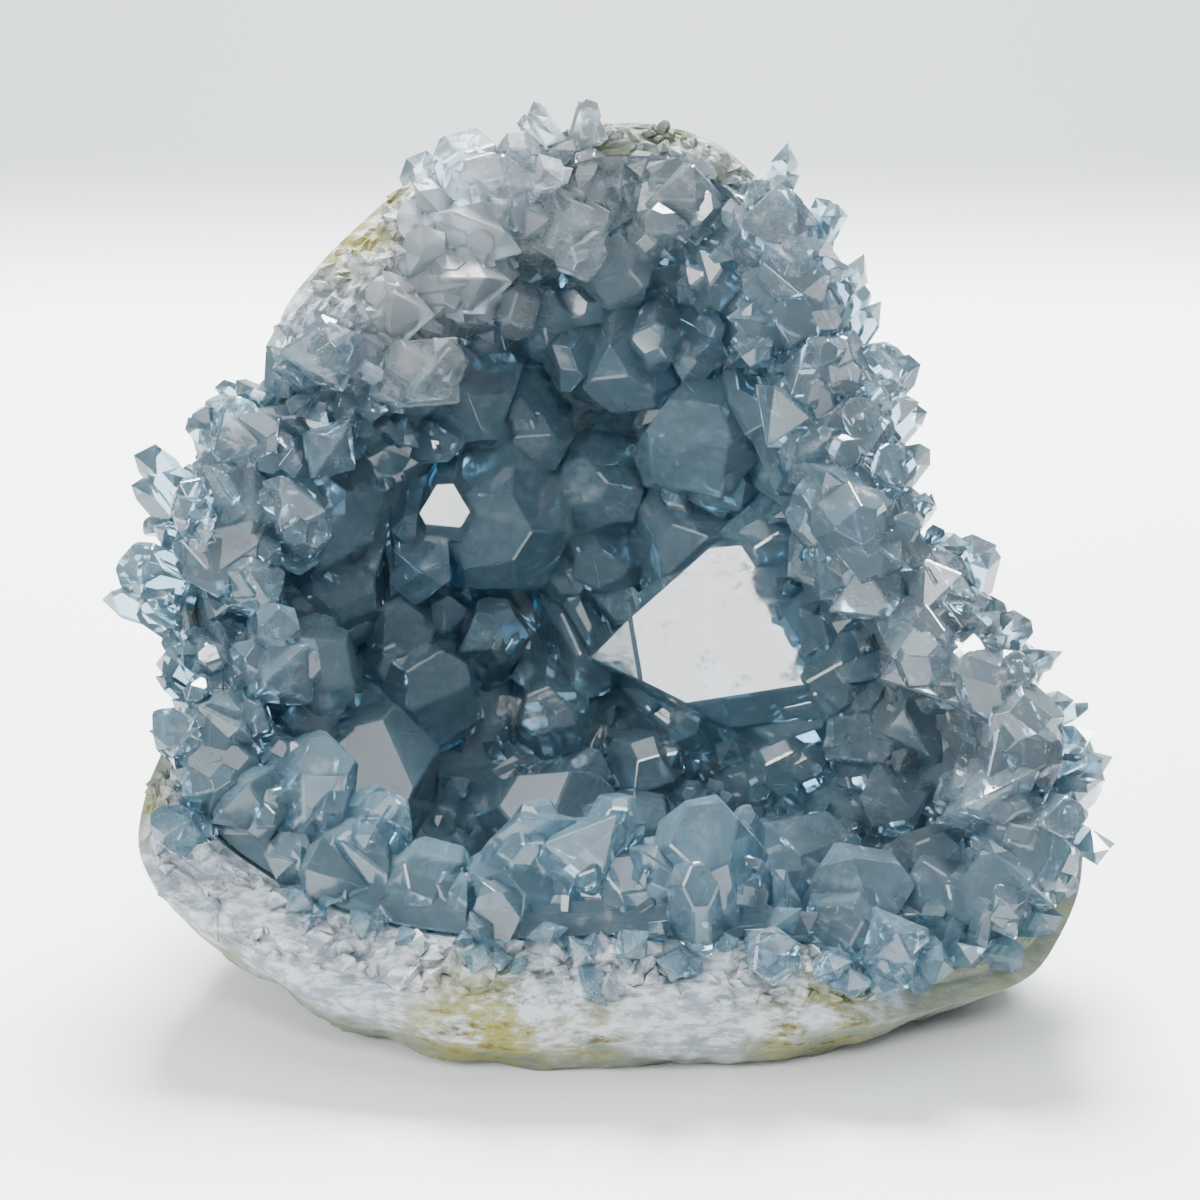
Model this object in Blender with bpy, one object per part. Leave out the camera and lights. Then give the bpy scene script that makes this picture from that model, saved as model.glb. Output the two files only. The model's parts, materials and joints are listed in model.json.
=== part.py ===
"""A celestite geode piece: a broken bowl of pale stone whose hollow is lined with blocky blue crystals.

The piece stands on a flat spot of its rind, with its hollow facing forward (-Y) and up.
Lengths are metres, +Z is up, and the origin is the middle of the flat spot.
"""

import math
import random

import bmesh
import bpy
from mathutils import Matrix, Vector, noise

MM = 0.001

# The broken rim lies in a plane that leans back. UP_RIM runs up that plane and OUT stands out of it,
# so a point of the bowl is RIM_MIDDLE + x * RIGHT + up * UP_RIM + out * OUT.
RIM_LEAN = math.radians(46)
RIGHT = Vector((1, 0, 0))
UP_RIM = Vector((0, math.cos(RIM_LEAN), math.sin(RIM_LEAN)))
OUT = Vector((0, -math.sin(RIM_LEAN), math.cos(RIM_LEAN)))
RIM_MIDDLE = Vector((0, 3.2, 48.8)) * MM

# The bowl, from its deepest point to the rim.
DEEPEST_UP = -2 * MM
OUTER_DEPTH = 50 * MM
INNER_DEPTH = 42 * MM
RIM_TURN = math.radians(80)
# The outer skin is lumpy. The lumps fade out at the rim, whose outline is given below.
LUMP_HEIGHT = 2.2 * MM
LUMP_SIZE = 21 * MM
# Low at the front the skin bulges out past the rim.
FOOT_BULGE = 12 * MM
SECTORS = 36
OUTER_RINGS = 8
INNER_RINGS = 5
# The broken edge stands up a little between its two sides, in steps.
EDGE_SHARES = (0.35, 0.7)
EDGE_CROWN = 1.2 * MM
EDGE_STEP = 1.6 * MM
EDGE_LUMP = 6 * MM

# The rim, anticlockwise from the right as seen from the front, in millimetres:
# right of the middle, up the rim plane, width of the broken edge, and how far the edge stands out.
RIM_ROWS_MM = (
    (43, 1, 1.8, -2),
    (37, 11, 1.8, -1),
    (34.5, 20, 2, 0),
    (31, 31, 2, 1),
    (26.5, 45, 2.5, 1),
    (19.5, 57, 4, 1),
    (9.5, 65.5, 5, 0),
    (-4.5, 66.5, 5, -1),
    (-18, 60.5, 6, -1),
    (-30, 50.5, 9, 0),
    (-39.5, 39, 9, 1),
    (-46.5, 27.5, 4.5, 0),
    (-53.5, 15, 2.2, -1),
    (-56, 1, 2.2, 0),
    (-54, -14, 3, 1),
    (-57, -26.5, 6, 0),
    (-56, -35, 8, -1),
    (-48.5, -43, 9, -1),
    (-37, -49, 8.5, 0),
    (-20, -53, 8, 1),
    (0, -53.5, 8, 1),
    (20, -53, 8, 0),
    (36, -51, 6, -1),
    (48.5, -47, 4, -1),
    (54, -39, 2.5, 0),
    (55.5, -29, 2, 0),
    (50, -13.5, 1.8, -1),
)

# The crust lines the bowl. Its bed lies this far off the rind, and what reaches lower is trimmed at the gap.
CRUST_GAP = 0.3 * MM
BED_GAP = 0.5 * MM
BED_THICK = 5.5 * MM
# The bed thins towards the rim by this share, and its top is uneven.
BED_RIM_THINNING = 0.3
BED_UNEVEN = 1.4 * MM
BED_LUMP = 7 * MM
# How far above the stone a crystal starts, inside the bed, for a large one and a small one.
LARGE_START = 1 * MM
SMALL_START = 3.5 * MM

# The height above the level from which the places of the large crystals are given.
SEEN_FROM = math.radians(24)
SEEN_UP = Vector((0, math.sin(SEEN_FROM), math.cos(SEEN_FROM)))
SEEN_DEEP = Vector((0, math.cos(SEEN_FROM), -math.sin(SEEN_FROM)))
# The part of a crystal's length at which its place is given.
PLACE_SHARE = 0.6

# The large crystals, by hand. Millimetres: right and up of the rim's middle as seen from the front, then
# width, thickness and length. Degrees: where the tip points (0 right, 90 up), how far it comes towards
# the front (90 straight out), and its turn about its own length. Last, the share of the width that
# the flat end keeps.
LARGE_CRYSTALS = (
    # The big bright plate and the blocks round it
    (16, -8, 25, 21, 19, 85, 48, 8, 0.82),
    (10, 5, 16, 14, 21, 300, 52, 40, 0.55),
    (21, 4, 15, 12, 17, 60, 42, 5, 0.6),
    (23, -18, 15, 12, 15, 285, 45, 20, 0.3),
    (11, -19, 11, 10, 13, 255, 50, 30, 0.3),
    (29, -11, 13, 11, 18, 330, 50, 0, 0.35),
    # The upper wall, whose crystals hang forward
    (-15.5, 7, 20, 15, 24, 268, 42, 5, 0.3),
    (1.5, 29.5, 14, 12, 20, 264, 46, 10, 0.42),
    (9, 30, 10, 9, 17, 285, 48, 60, 0.3),
    (-2.5, 12, 14, 11, 18, 250, 52, 25, 0.35),
    (-3, 3, 12, 9, 18, 300, 42, 15, 0.28),
    (-6, -8, 12, 9, 24, 296, 26, 20, 0.12),
    (12, 18, 17, 13, 20, 240, 56, 0, 0.45),
    (19, 22, 12, 11, 16, 280, 52, 35, 0.4),
    (27, 14, 15, 13, 18, 320, 54, 15, 0.45),
    (1, 41, 11, 9, 13, 262, 55, 30, 0.4),
    (-9, 34, 10, 9, 13, 245, 54, 10, 0.3),
    (13, 40, 10, 9, 12, 290, 56, 50, 0.35),
    (21, 34, 11, 9, 12, 300, 56, 0, 0.4),
    (-20, 23, 13, 11, 15, 250, 54, 20, 0.4),
    (-12, 20, 13, 9, 15, 272, 50, 0, 0.5),
    (-27, 26, 12, 10, 12, 240, 62, 35, 0.4),
    (-19, 36, 11, 9, 11, 230, 60, 15, 0.3),
    # The brow at the top
    (-4, 50, 11, 9, 9, 262, 48, 10, 0.4),
    (6.5, 48.5, 10, 8, 9, 255, 52, 25, 0.4),
    (16, 45, 10, 8, 9, 300, 55, 30, 0.35),
    (-13, 45, 11, 9, 9, 220, 55, 10, 0.4),
    # The left side
    (-45, 16, 15, 12, 12, 205, 62, 55, 0.5),
    (-37, 8, 15, 12, 16, 300, 52, 20, 0.4),
    (-49, -2, 14, 11, 11, 215, 52, 25, 0.4),
    (-37, -3, 15, 9, 15, 345, 48, 10, 0.25),
    (-26, 4, 10, 8, 20, 272, 44, 40, 0.4),
    (-48, -12, 11, 9, 11, 320, 52, 30, 0.3),
    # The left of the floor
    (-39, -13, 14, 12, 17, 30, 55, 15, 0.4),
    (-28, -8, 11, 9, 18, 95, 52, 30, 0.15),
    (-25, -15.5, 18, 13, 19, 330, 50, 15, 0.4),
    (-33, -27, 22, 17, 18, 80, 62, 20, 0.6),
    (-46, -24, 11, 10, 12, 120, 40, 10, 0.4),
    (-46.5, -33, 10, 8, 19, 84, 10, 25, 0.1),
    (-37, -40, 12, 10, 13, 100, 24, 35, 0.4),
    (-26, -39, 11, 9, 12, 70, 26, 0, 0.35),
    # The middle of the floor
    (-17, -9, 9, 8, 18, 60, 52, 30, 0.2),
    (-9, -18, 14, 11, 17, 290, 52, 15, 0.35),
    (-9, -32, 22, 14, 17, 25, 46, 60, 0.5),
    (2, -33, 15, 12, 14, 60, 44, 10, 0.3),
    (4, -25, 10, 8, 14, 90, 58, 20, 0.3),
    (12, -34, 13, 11, 19, 98, 22, 15, 0.14),
    (22, -36, 19, 13, 15, 70, 28, 40, 0.35),
    (22, -25, 10, 8, 13, 110, 54, 20, 0.3),
    (3, -42, 15, 10, 12, 95, 16, 10, 0.4),
    (-14, -42, 14, 10, 12, 80, 18, 30, 0.4),
    (33, -42, 13, 10, 13, 70, 18, 20, 0.35),
    # The right side
    (38, -18, 17, 15, 17, 10, 62, 20, 0.5),
    (52, -24, 13, 12, 15, 5, 46, 30, 0.5),
    (47, -12, 11, 9, 13, 20, 52, 45, 0.4),
    (40, -3, 12, 10, 15, 40, 52, 10, 0.4),
    (36, -28, 10, 9, 13, 200, 56, 30, 0.4),
    (45, -29, 10, 8, 12, 330, 52, 0, 0.3),
    (38, -36, 12, 9, 14, 100, 26, 20, 0.25),
    (48, -36, 13, 10, 12, 40, 30, 65, 0.45),
    (45, -43, 12, 9, 11, 70, 20, 10, 0.5),
    (33, 4, 12, 10, 16, 350, 55, 25, 0.4),
    (29, 24, 11, 9, 13, 345, 52, 20, 0.45),
)

# A large crystal's side faces turn this far from its width and cut the block's corners to this share.
PRISM_TURN = math.radians(40)
PRISM_REACH = (0.48, 0.6)
# How steeply its end falls away to both sides of its ridge and to both ends of it, in degrees.
RIDGE_SLOPE = (38, 50)
END_SLOPE = (42, 58)
# Faces are off by about this much, and every large crystal is this much wider than its row says.
UNEVEN = 0.06
GIRTH = 1.15
# No root lies further out than this share of the way from the deepest point to the rim.
ROOT_REACH = 0.96

# The small crystals that fill the rest of the wall.
FILL_COUNT = 66
FILL_REACH = 0.98
FILL_WIDTH = (6.5 * MM, 11 * MM)
FILL_SMALLER_AT_RIM = 0.3
FILL_SPREAD = 0.35
FILL_SEED = 11
GOLDEN_TURN = math.pi * (3 - math.sqrt(5))
# A small crystal's root keeps this share of the mean width to the root of a large one.
CLEAR_SHARE = 0.75
RIM_CLEAR_SHARE = 0.5
# Each row along the rim: how many, how far in, and how far below the rim their roots lie.
RIM_CRYSTAL_ROWS = ((32, -1.5 * MM, 3.5 * MM), (22, 5 * MM, 5.5 * MM))
RIM_CRYSTAL_WIDTH = (9 * MM, 15 * MM)
RIM_CRYSTAL_LENGTH = (8 * MM, 12 * MM)
RIM_LEAN_IN = 0.25
RIM_SPREAD = 0.25


def wrapped(knots, angle):
    """The value at angle of a smooth curve that goes round through (angle, value) knots."""
    full = 2 * math.pi
    count = len(knots)
    angle = angle % full
    after = next((i for i, knot in enumerate(knots) if knot[0] > angle), count)
    near = []
    for step in (-2, -1, 0, 1):
        laps, place = divmod(after + step, count)
        near.append((knots[place][0] + laps * full, knots[place][1]))
    (a0, v0), (a1, v1), (a2, v2), (a3, v3) = near
    share = (angle - a1) / (a2 - a1)
    slope_1 = (v2 - v0) / (a2 - a0) * (a2 - a1)
    slope_2 = (v3 - v1) / (a3 - a1) * (a2 - a1)
    square, cube = share * share, share**3
    return (
        v1 * (2 * cube - 3 * square + 1)
        + slope_1 * (cube - 2 * square + share)
        + v2 * (3 * square - 2 * cube)
        + slope_2 * (cube - square)
    )


def rim_knots():
    """The rim's radius, edge width and stand-out, each as knots by angle round the deepest point."""
    rows = []
    for right, up, edge, stand in RIM_ROWS_MM:
        offset = (right * MM, up * MM - DEEPEST_UP)
        angle = math.atan2(offset[1], offset[0]) % (2 * math.pi)
        rows.append((angle, math.hypot(*offset), edge * MM, stand * MM))
    rows.sort()
    return tuple([(row[0], row[column]) for row in rows] for column in (1, 2, 3))


RIM_RADIUS, RIM_EDGE, RIM_STAND = rim_knots()


def bowl_point(angle, share, depth, inset):
    """A point of the bowl as (right, up, out). share runs from 0 at the deepest point to 1 at the rim."""
    turn = share * RIM_TURN
    deep = (math.cos(turn) - math.cos(RIM_TURN)) / (1 - math.cos(RIM_TURN))
    radius = (wrapped(RIM_RADIUS, angle) - inset) * math.sin(turn) / math.sin(RIM_TURN)
    out = wrapped(RIM_STAND, angle) * (1 - deep) - depth * deep
    return radius * math.cos(angle), DEEPEST_UP + radius * math.sin(angle), out


def placed(point):
    """A (right, up, out) point in the object's own axes."""
    return RIM_MIDDLE + RIGHT * point[0] + UP_RIM * point[1] + OUT * point[2]


def inner_height(right, up):
    """How far out the inner wall lies at a place of the rim plane. Past the rim it is the rim's own height."""
    angle = math.atan2(up - DEEPEST_UP, right)
    radius = math.hypot(right, up - DEEPEST_UP)
    full = wrapped(RIM_RADIUS, angle) - wrapped(RIM_EDGE, angle)
    turn = math.asin(min(1.0, radius / full) * math.sin(RIM_TURN))
    deep = (math.cos(turn) - math.cos(RIM_TURN)) / (1 - math.cos(RIM_TURN))
    return wrapped(RIM_STAND, angle) * (1 - deep) - INNER_DEPTH * deep


def inner_normal(right, up):
    """The direction in which the inner wall faces."""
    step = 0.5 * MM
    slope_right = (inner_height(right + step, up) - inner_height(right - step, up)) / (2 * step)
    slope_up = (inner_height(right, up + step) - inner_height(right, up - step)) / (2 * step)
    return (OUT - RIGHT * slope_right - UP_RIM * slope_up).normalized()


def kept_inside(right, up):
    """A place of the rim plane, pulled in where it lies too near the rim."""
    angle = math.atan2(up - DEEPEST_UP, right)
    full = wrapped(RIM_RADIUS, angle) - wrapped(RIM_EDGE, angle)
    share = min(1.0, ROOT_REACH * full / math.hypot(right, up - DEEPEST_UP))
    return right * share, DEEPEST_UP + (up - DEEPEST_UP) * share


def on_inner_wall(seen_right, seen_up):
    """The (right, up) place of the inner wall that shows at a point as seen from the front."""
    near, far = -90 * MM, 90 * MM
    for _ in range(40):
        middle = (near + far) / 2
        point = RIGHT * seen_right + SEEN_UP * seen_up + SEEN_DEEP * middle
        right, up, out = point.dot(RIGHT), point.dot(UP_RIM), point.dot(OUT)
        if out > inner_height(right, up):
            near = middle
        else:
            far = middle
    return kept_inside(right, up)


def material(name, colour, roughness, transmission=0.0):
    """A plain finish for one piece."""
    made = bpy.data.materials.new(name)
    made.use_nodes = True
    shader = made.node_tree.nodes["Principled BSDF"]
    shader.inputs["Base Color"].default_value = (*colour, 1)
    shader.inputs["Roughness"].default_value = roughness
    shader.inputs["Transmission Weight"].default_value = transmission
    return made


def new_object(name, mesh_maker, finish):
    """Adds a named object whose mesh is made by mesh_maker, which fills an empty bmesh."""
    mesh = bpy.data.meshes.new(name)
    shape = bmesh.new()
    mesh_maker(shape)
    bmesh.ops.recalc_face_normals(shape, faces=shape.faces)
    shape.to_mesh(mesh)
    shape.free()
    made = bpy.data.objects.new(name, mesh)
    made.data.materials.append(finish)
    bpy.context.scene.collection.objects.link(made)
    return made


def bridge(shape, lower, upper):
    """Quads between two closed rings of the same length."""
    for i in range(len(lower)):
        after = (i + 1) % len(lower)
        shape.faces.new((lower[i], lower[after], upper[after], upper[i]))


def cap(shape, ring, middle):
    """A fan of triangles from a ring to one point."""
    top = shape.verts.new(middle)
    for i in range(len(ring)):
        shape.faces.new((ring[i], ring[(i + 1) % len(ring)], top))


def sector_angles():
    return [2 * math.pi * i / SECTORS for i in range(SECTORS)]


def lumps(point):
    """How far a lump pushes out the skin at a point."""
    return LUMP_HEIGHT * noise.fractal(point / LUMP_SIZE, 0.6, 2.1, 3)


def outer_ring(shape, share, lift):
    """One ring of the outer skin, lumpy except near the rim, and lifted off the stone."""
    ring = []
    for angle in sector_angles():
        bulge = FOOT_BULGE * max(0, -math.sin(angle)) ** 2 * math.sqrt(math.sin(math.pi * min(share, 1)))
        point = placed(bowl_point(angle, share, OUTER_DEPTH, -bulge))
        away = (point - RIM_MIDDLE).normalized()
        lump = lumps(point) * min(1, 3 * (1.05 - share))
        ring.append(shape.verts.new(point + away * (lump + lift)))
    return ring


def inner_ring(shape, share, lift, uneven=0.0):
    """One ring of the inner wall, lifted into the hollow."""
    ring = []
    for angle in sector_angles():
        inset = wrapped(RIM_EDGE, angle)
        right, up, out = bowl_point(angle, share, INNER_DEPTH, inset)
        rise = lift + uneven * noise.noise(Vector((right, up, out)) / BED_LUMP)
        side = rise * math.sin(share * RIM_TURN)
        over = rise * math.cos(share * RIM_TURN)
        ring.append(
            shape.verts.new(placed((right - math.cos(angle) * side, up - math.sin(angle) * side, out + over)))
        )
    return ring


def broken_edge_ring(shape, share, lift):
    """A ring across the broken edge of the stone, with the steps of a fracture."""
    ring = []
    for angle in sector_angles():
        inset = wrapped(RIM_EDGE, angle) * share
        right, up, out = bowl_point(angle, 1, OUTER_DEPTH, inset)
        step = EDGE_STEP * noise.noise(Vector((right, up, 0)) / EDGE_LUMP)
        ring.append(shape.verts.new(placed((right, up, out + EDGE_CROWN + step + lift))))
    return ring


def fill_rind(shape, lift=0.0):
    """The stone bowl: outer skin, broken edge and inner wall. A lift moves all of its surface outwards."""
    rings = [outer_ring(shape, (i + 1) / OUTER_RINGS, lift) for i in range(OUTER_RINGS)]
    rings += [broken_edge_ring(shape, share, lift) for share in EDGE_SHARES]
    rings += [inner_ring(shape, (i + 1) / INNER_RINGS, lift) for i in reversed(range(INNER_RINGS))]
    for lower, upper in zip(rings, rings[1:]):
        bridge(shape, lower, upper)
    cap(shape, rings[0], placed((0, DEEPEST_UP, -OUTER_DEPTH - lift)))
    cap(shape, rings[-1], placed((0, DEEPEST_UP, -INNER_DEPTH + lift)))


def grind_flat(shape):
    """Cuts the stone level at z = 0, where it stands."""
    everything = shape.verts[:] + shape.edges[:] + shape.faces[:]
    cut = bmesh.ops.bisect_plane(
        shape, geom=everything, plane_co=(0, 0, 0), plane_no=(0, 0, -1), clear_outer=True
    )
    loop = [piece for piece in cut["geom_cut"] if isinstance(piece, bmesh.types.BMEdge)]
    bmesh.ops.edgeloop_fill(shape, edges=loop)


def bed_thickness(share):
    return BED_THICK * (1 - BED_RIM_THINNING * share**5)


def fill_crust_bed(shape):
    """The sheet that the crystals grow from, broken through at the rim."""
    under = [inner_ring(shape, (i + 1) / INNER_RINGS, BED_GAP) for i in range(INNER_RINGS)]
    over = []
    for i in reversed(range(INNER_RINGS)):
        share = (i + 1) / INNER_RINGS
        over.append(inner_ring(shape, share, BED_GAP + bed_thickness(share), BED_UNEVEN))
    rings = under + over
    for lower, upper in zip(rings, rings[1:]):
        bridge(shape, lower, upper)
    cap(shape, rings[0], placed((0, DEEPEST_UP, BED_GAP - INNER_DEPTH)))
    cap(shape, rings[-1], placed((0, DEEPEST_UP, BED_GAP + BED_THICK - INNER_DEPTH)))


def tilted(direction, chance, spread):
    """A direction a little off another, as on a crystal that grew in a crowd."""
    return (direction + Vector([chance.gauss(0, spread) for _ in range(3)])).normalized()


def crystal_cuts(width, thick, length, flat, chance):
    """The planes, as (point, normal), that trim a block to a crystal: its sides, its ridge and its ends."""
    cuts = []
    for side in (-1, 1):
        for face in (-1, 1):
            normal = Vector((side * math.cos(PRISM_TURN), face * math.sin(PRISM_TURN), 0))
            reach = (width * math.cos(PRISM_TURN) + thick * math.sin(PRISM_TURN)) / 2
            cuts.append((normal * reach * chance.uniform(*PRISM_REACH), tilted(normal, chance, UNEVEN)))
        steep = math.radians(chance.uniform(*RIDGE_SLOPE))
        start = Vector((0, side * thick * flat / 2 * chance.uniform(0.8, 1.2), length))
        slope = Vector((0, side * math.sin(steep), math.cos(steep)))
        cuts.append((start, tilted(slope, chance, UNEVEN)))
        steep = math.radians(chance.uniform(*END_SLOPE))
        kept = width * (0.15 + 0.7 * flat) / 2
        start = Vector((side * kept * chance.uniform(0.6, 1.3), 0, length))
        slope = Vector((side * math.sin(steep), 0, math.cos(steep)))
        cuts.append((start, tilted(slope, chance, UNEVEN)))
    return cuts


def fill_crystal(shape, size, flat, chance):
    """One crystal that starts just above z = 0 and has its tip at the top, trimmed by planes."""
    width, thick, length = size
    box = bmesh.ops.create_cube(shape, size=1)["verts"]
    height = length - LARGE_START
    bmesh.ops.scale(shape, vec=(width, thick, height), verts=box)
    bmesh.ops.translate(shape, vec=(0, 0, length - height / 2), verts=box)
    for point, normal in crystal_cuts(width, thick, length, flat, chance):
        everything = shape.verts[:] + shape.edges[:] + shape.faces[:]
        cut = bmesh.ops.bisect_plane(
            shape, geom=everything, plane_co=point, plane_no=normal, clear_outer=True
        )
        loop = [piece for piece in cut["geom_cut"] if isinstance(piece, bmesh.types.BMEdge)]
        if loop:
            bmesh.ops.edgeloop_fill(shape, edges=loop)


def fill_small_crystal(shape, size, chance):
    """A small crystal: a rhombic prism that ends in a ridge."""
    width, thick, length = size
    shoulder = length - thick * chance.uniform(0.4, 0.6)
    outline = ((width / 2, 0), (0, thick / 2), (-width / 2, 0), (0, -thick / 2))
    foot = [shape.verts.new((x, y, SMALL_START)) for x, y in outline]
    side = [shape.verts.new((x, y, shoulder * chance.uniform(0.85, 1))) for x, y in outline]
    ends = (chance.uniform(0.15, 0.38), -chance.uniform(0.15, 0.38))
    ridge = [shape.verts.new((width * end, 0, length)) for end in ends]
    shape.faces.new(foot)
    bridge(shape, foot, side)
    shape.faces.new((side[0], side[1], ridge[0]))
    shape.faces.new((side[0], ridge[0], side[3]))
    shape.faces.new((side[2], side[3], ridge[1]))
    shape.faces.new((side[2], ridge[1], side[1]))
    shape.faces.new((side[1], ridge[1], ridge[0]))
    shape.faces.new((side[3], ridge[0], ridge[1]))


def standing(root, axis, turn):
    """The place of a crystal whose root is at a point and whose length runs along an axis."""
    across = (RIGHT - axis * RIGHT.dot(axis)).normalized()
    across.rotate(Matrix.Rotation(turn, 3, axis))
    frame = Matrix((across, axis.cross(across), axis)).transposed().to_4x4()
    return Matrix.Translation(root) @ frame


def large_crystals():
    """Each large crystal as (place, size, flat share, root)."""
    for right, up, width, thick, length, heading, rise, turn, flat in LARGE_CRYSTALS:
        heading, rise = math.radians(heading), math.radians(rise)
        axis = RIGHT * math.cos(rise) * math.cos(heading) + SEEN_UP * math.cos(rise) * math.sin(heading)
        axis -= SEEN_DEEP * math.sin(rise)
        reach = PLACE_SHARE * length * MM
        root_right, root_up = on_inner_wall(
            right * MM - reach * axis.dot(RIGHT), up * MM - reach * axis.dot(SEEN_UP)
        )
        root = placed((root_right, root_up, inner_height(root_right, root_up)))
        size = (GIRTH * width * MM, GIRTH * thick * MM, length * MM)
        yield standing(root, axis.normalized(), math.radians(turn)), size, flat, root


def stands_clear(root, width, taken, share):
    """Whether a root keeps this share of the mean width to each large crystal's root."""
    return all((root - other).length > share * (width + wide) / 2 for other, wide in taken)


def filling_crystals(taken, chance):
    """The crystals between the large ones, on a spiral that covers the wall evenly."""
    for i in range(FILL_COUNT):
        share = math.sqrt((i + 0.5) / FILL_COUNT)
        angle = i * GOLDEN_TURN
        right, up, out = bowl_point(angle, FILL_REACH * share, INNER_DEPTH, wrapped(RIM_EDGE, angle))
        root = placed((right, up, out))
        width = chance.uniform(*FILL_WIDTH) * (1 - FILL_SMALLER_AT_RIM * share**3)
        size = (width, width * chance.uniform(0.65, 0.95), width * chance.uniform(1.1, 1.6))
        axis = tilted(inner_normal(right, up), chance, FILL_SPREAD)
        turn = chance.uniform(0, math.pi)
        if stands_clear(root, width, taken, CLEAR_SHARE):
            yield standing(root, axis, turn), size


def rim_crystals(taken, chance):
    """Two uneven rows of crystals along the rim, in the thick end of the bed."""
    for count, inset, deep in RIM_CRYSTAL_ROWS:
        for i in range(count):
            angle = 2 * math.pi * (i + chance.uniform(-0.3, 0.3)) / count
            width = chance.uniform(*RIM_CRYSTAL_WIDTH)
            inwards = wrapped(RIM_EDGE, angle) + inset + width * chance.uniform(0.3, 0.5)
            right, up, out = bowl_point(angle, 1, INNER_DEPTH, inwards)
            root = placed((right, up, out - deep))
            size = (width, width * chance.uniform(0.7, 1), chance.uniform(*RIM_CRYSTAL_LENGTH))
            towards = Vector((-math.cos(angle), -math.sin(angle)))
            axis = OUT + RIM_LEAN_IN * (RIGHT * towards.x + UP_RIM * towards.y)
            axis = tilted(axis, chance, RIM_SPREAD)
            if stands_clear(root, width, taken, RIM_CLEAR_SHARE):
                yield standing(root, axis, chance.uniform(0, math.pi)), size


def add_crystals(finish):
    """Every crystal as a helper object in a collection of its own."""
    group = bpy.data.collections.new("crystals")
    taken = []
    chance = random.Random(FILL_SEED)
    rows = []
    for place, size, flat, root in large_crystals():
        rows.append((place, lambda shape, s=size, f=flat: fill_crystal(shape, s, f, chance)))
        taken.append((root, size[0]))
    for place, size in [*filling_crystals(taken, chance), *rim_crystals(taken, chance)]:
        rows.append((place, lambda shape, s=size: fill_small_crystal(shape, s, chance)))
    for number, (place, shape_maker) in enumerate(rows):
        crystal = new_object(f"crystal_{number}", shape_maker, finish)
        crystal.matrix_world = place
        bpy.context.scene.collection.objects.unlink(crystal)
        group.objects.link(crystal)
    return group


def evaluated_mesh(obj):
    graph = bpy.context.evaluated_depsgraph_get()
    return bpy.data.meshes.new_from_object(obj.evaluated_get(graph))


def keep_largest_piece(mesh):
    """Removes splinters that a cut has left hanging on by a corner or standing alone."""
    shape = bmesh.new()
    shape.from_mesh(mesh)
    pieces, seen = [], set()
    for start in shape.faces:
        if start in seen:
            continue
        piece, waiting = [], [start]
        seen.add(start)
        while waiting:
            face = waiting.pop()
            piece.append(face)
            for other in (other for edge in face.edges for other in edge.link_faces):
                if other not in seen:
                    seen.add(other)
                    waiting.append(other)
        pieces.append(piece)
    pieces.sort(key=len)
    for piece in pieces[:-1]:
        bmesh.ops.delete(shape, geom=piece, context="FACES")
    shape.to_mesh(mesh)
    shape.free()


def make_rind():
    finish = material("pale_stone", (0.62, 0.6, 0.6), 0.85)

    def ground_bowl(shape):
        fill_rind(shape)
        grind_flat(shape)

    return new_object("stone_rind", ground_bowl, finish)


def make_crust():
    """The bed and all its crystals as one solid, trimmed clear of the rind."""
    finish = material("blue_celestite", (0.42, 0.53, 0.66), 0.12, 0.6)
    crust = new_object("crystal_crust", fill_crust_bed, finish)
    group = add_crystals(finish)
    joined = crust.modifiers.new("grown together", "BOOLEAN")
    joined.operation = "UNION"
    joined.operand_type = "COLLECTION"
    joined.collection = group
    # The exact solver leaves open edges where so many crystals cross.
    joined.solver = "MANIFOLD"
    cutter = new_object("room_of_the_rind", lambda shape: fill_rind(shape, CRUST_GAP), finish)
    trimmed = crust.modifiers.new("clear of the rind", "BOOLEAN")
    trimmed.operation = "DIFFERENCE"
    trimmed.object = cutter
    trimmed.solver = "MANIFOLD"
    mesh = evaluated_mesh(crust)
    crust.modifiers.clear()
    keep_largest_piece(mesh)
    crust.data = mesh
    for helper in list(group.objects) + [cutter]:
        bpy.data.objects.remove(helper)
    return crust


def main():
    for obj in list(bpy.data.objects):
        bpy.data.objects.remove(obj)
    make_rind()
    make_crust()


main()
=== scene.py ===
import json
import math
import random

import bmesh
import bpy
from bpy.props import FloatProperty, FloatVectorProperty, IntProperty, PointerProperty
from mathutils import Matrix, Vector, noise

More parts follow.
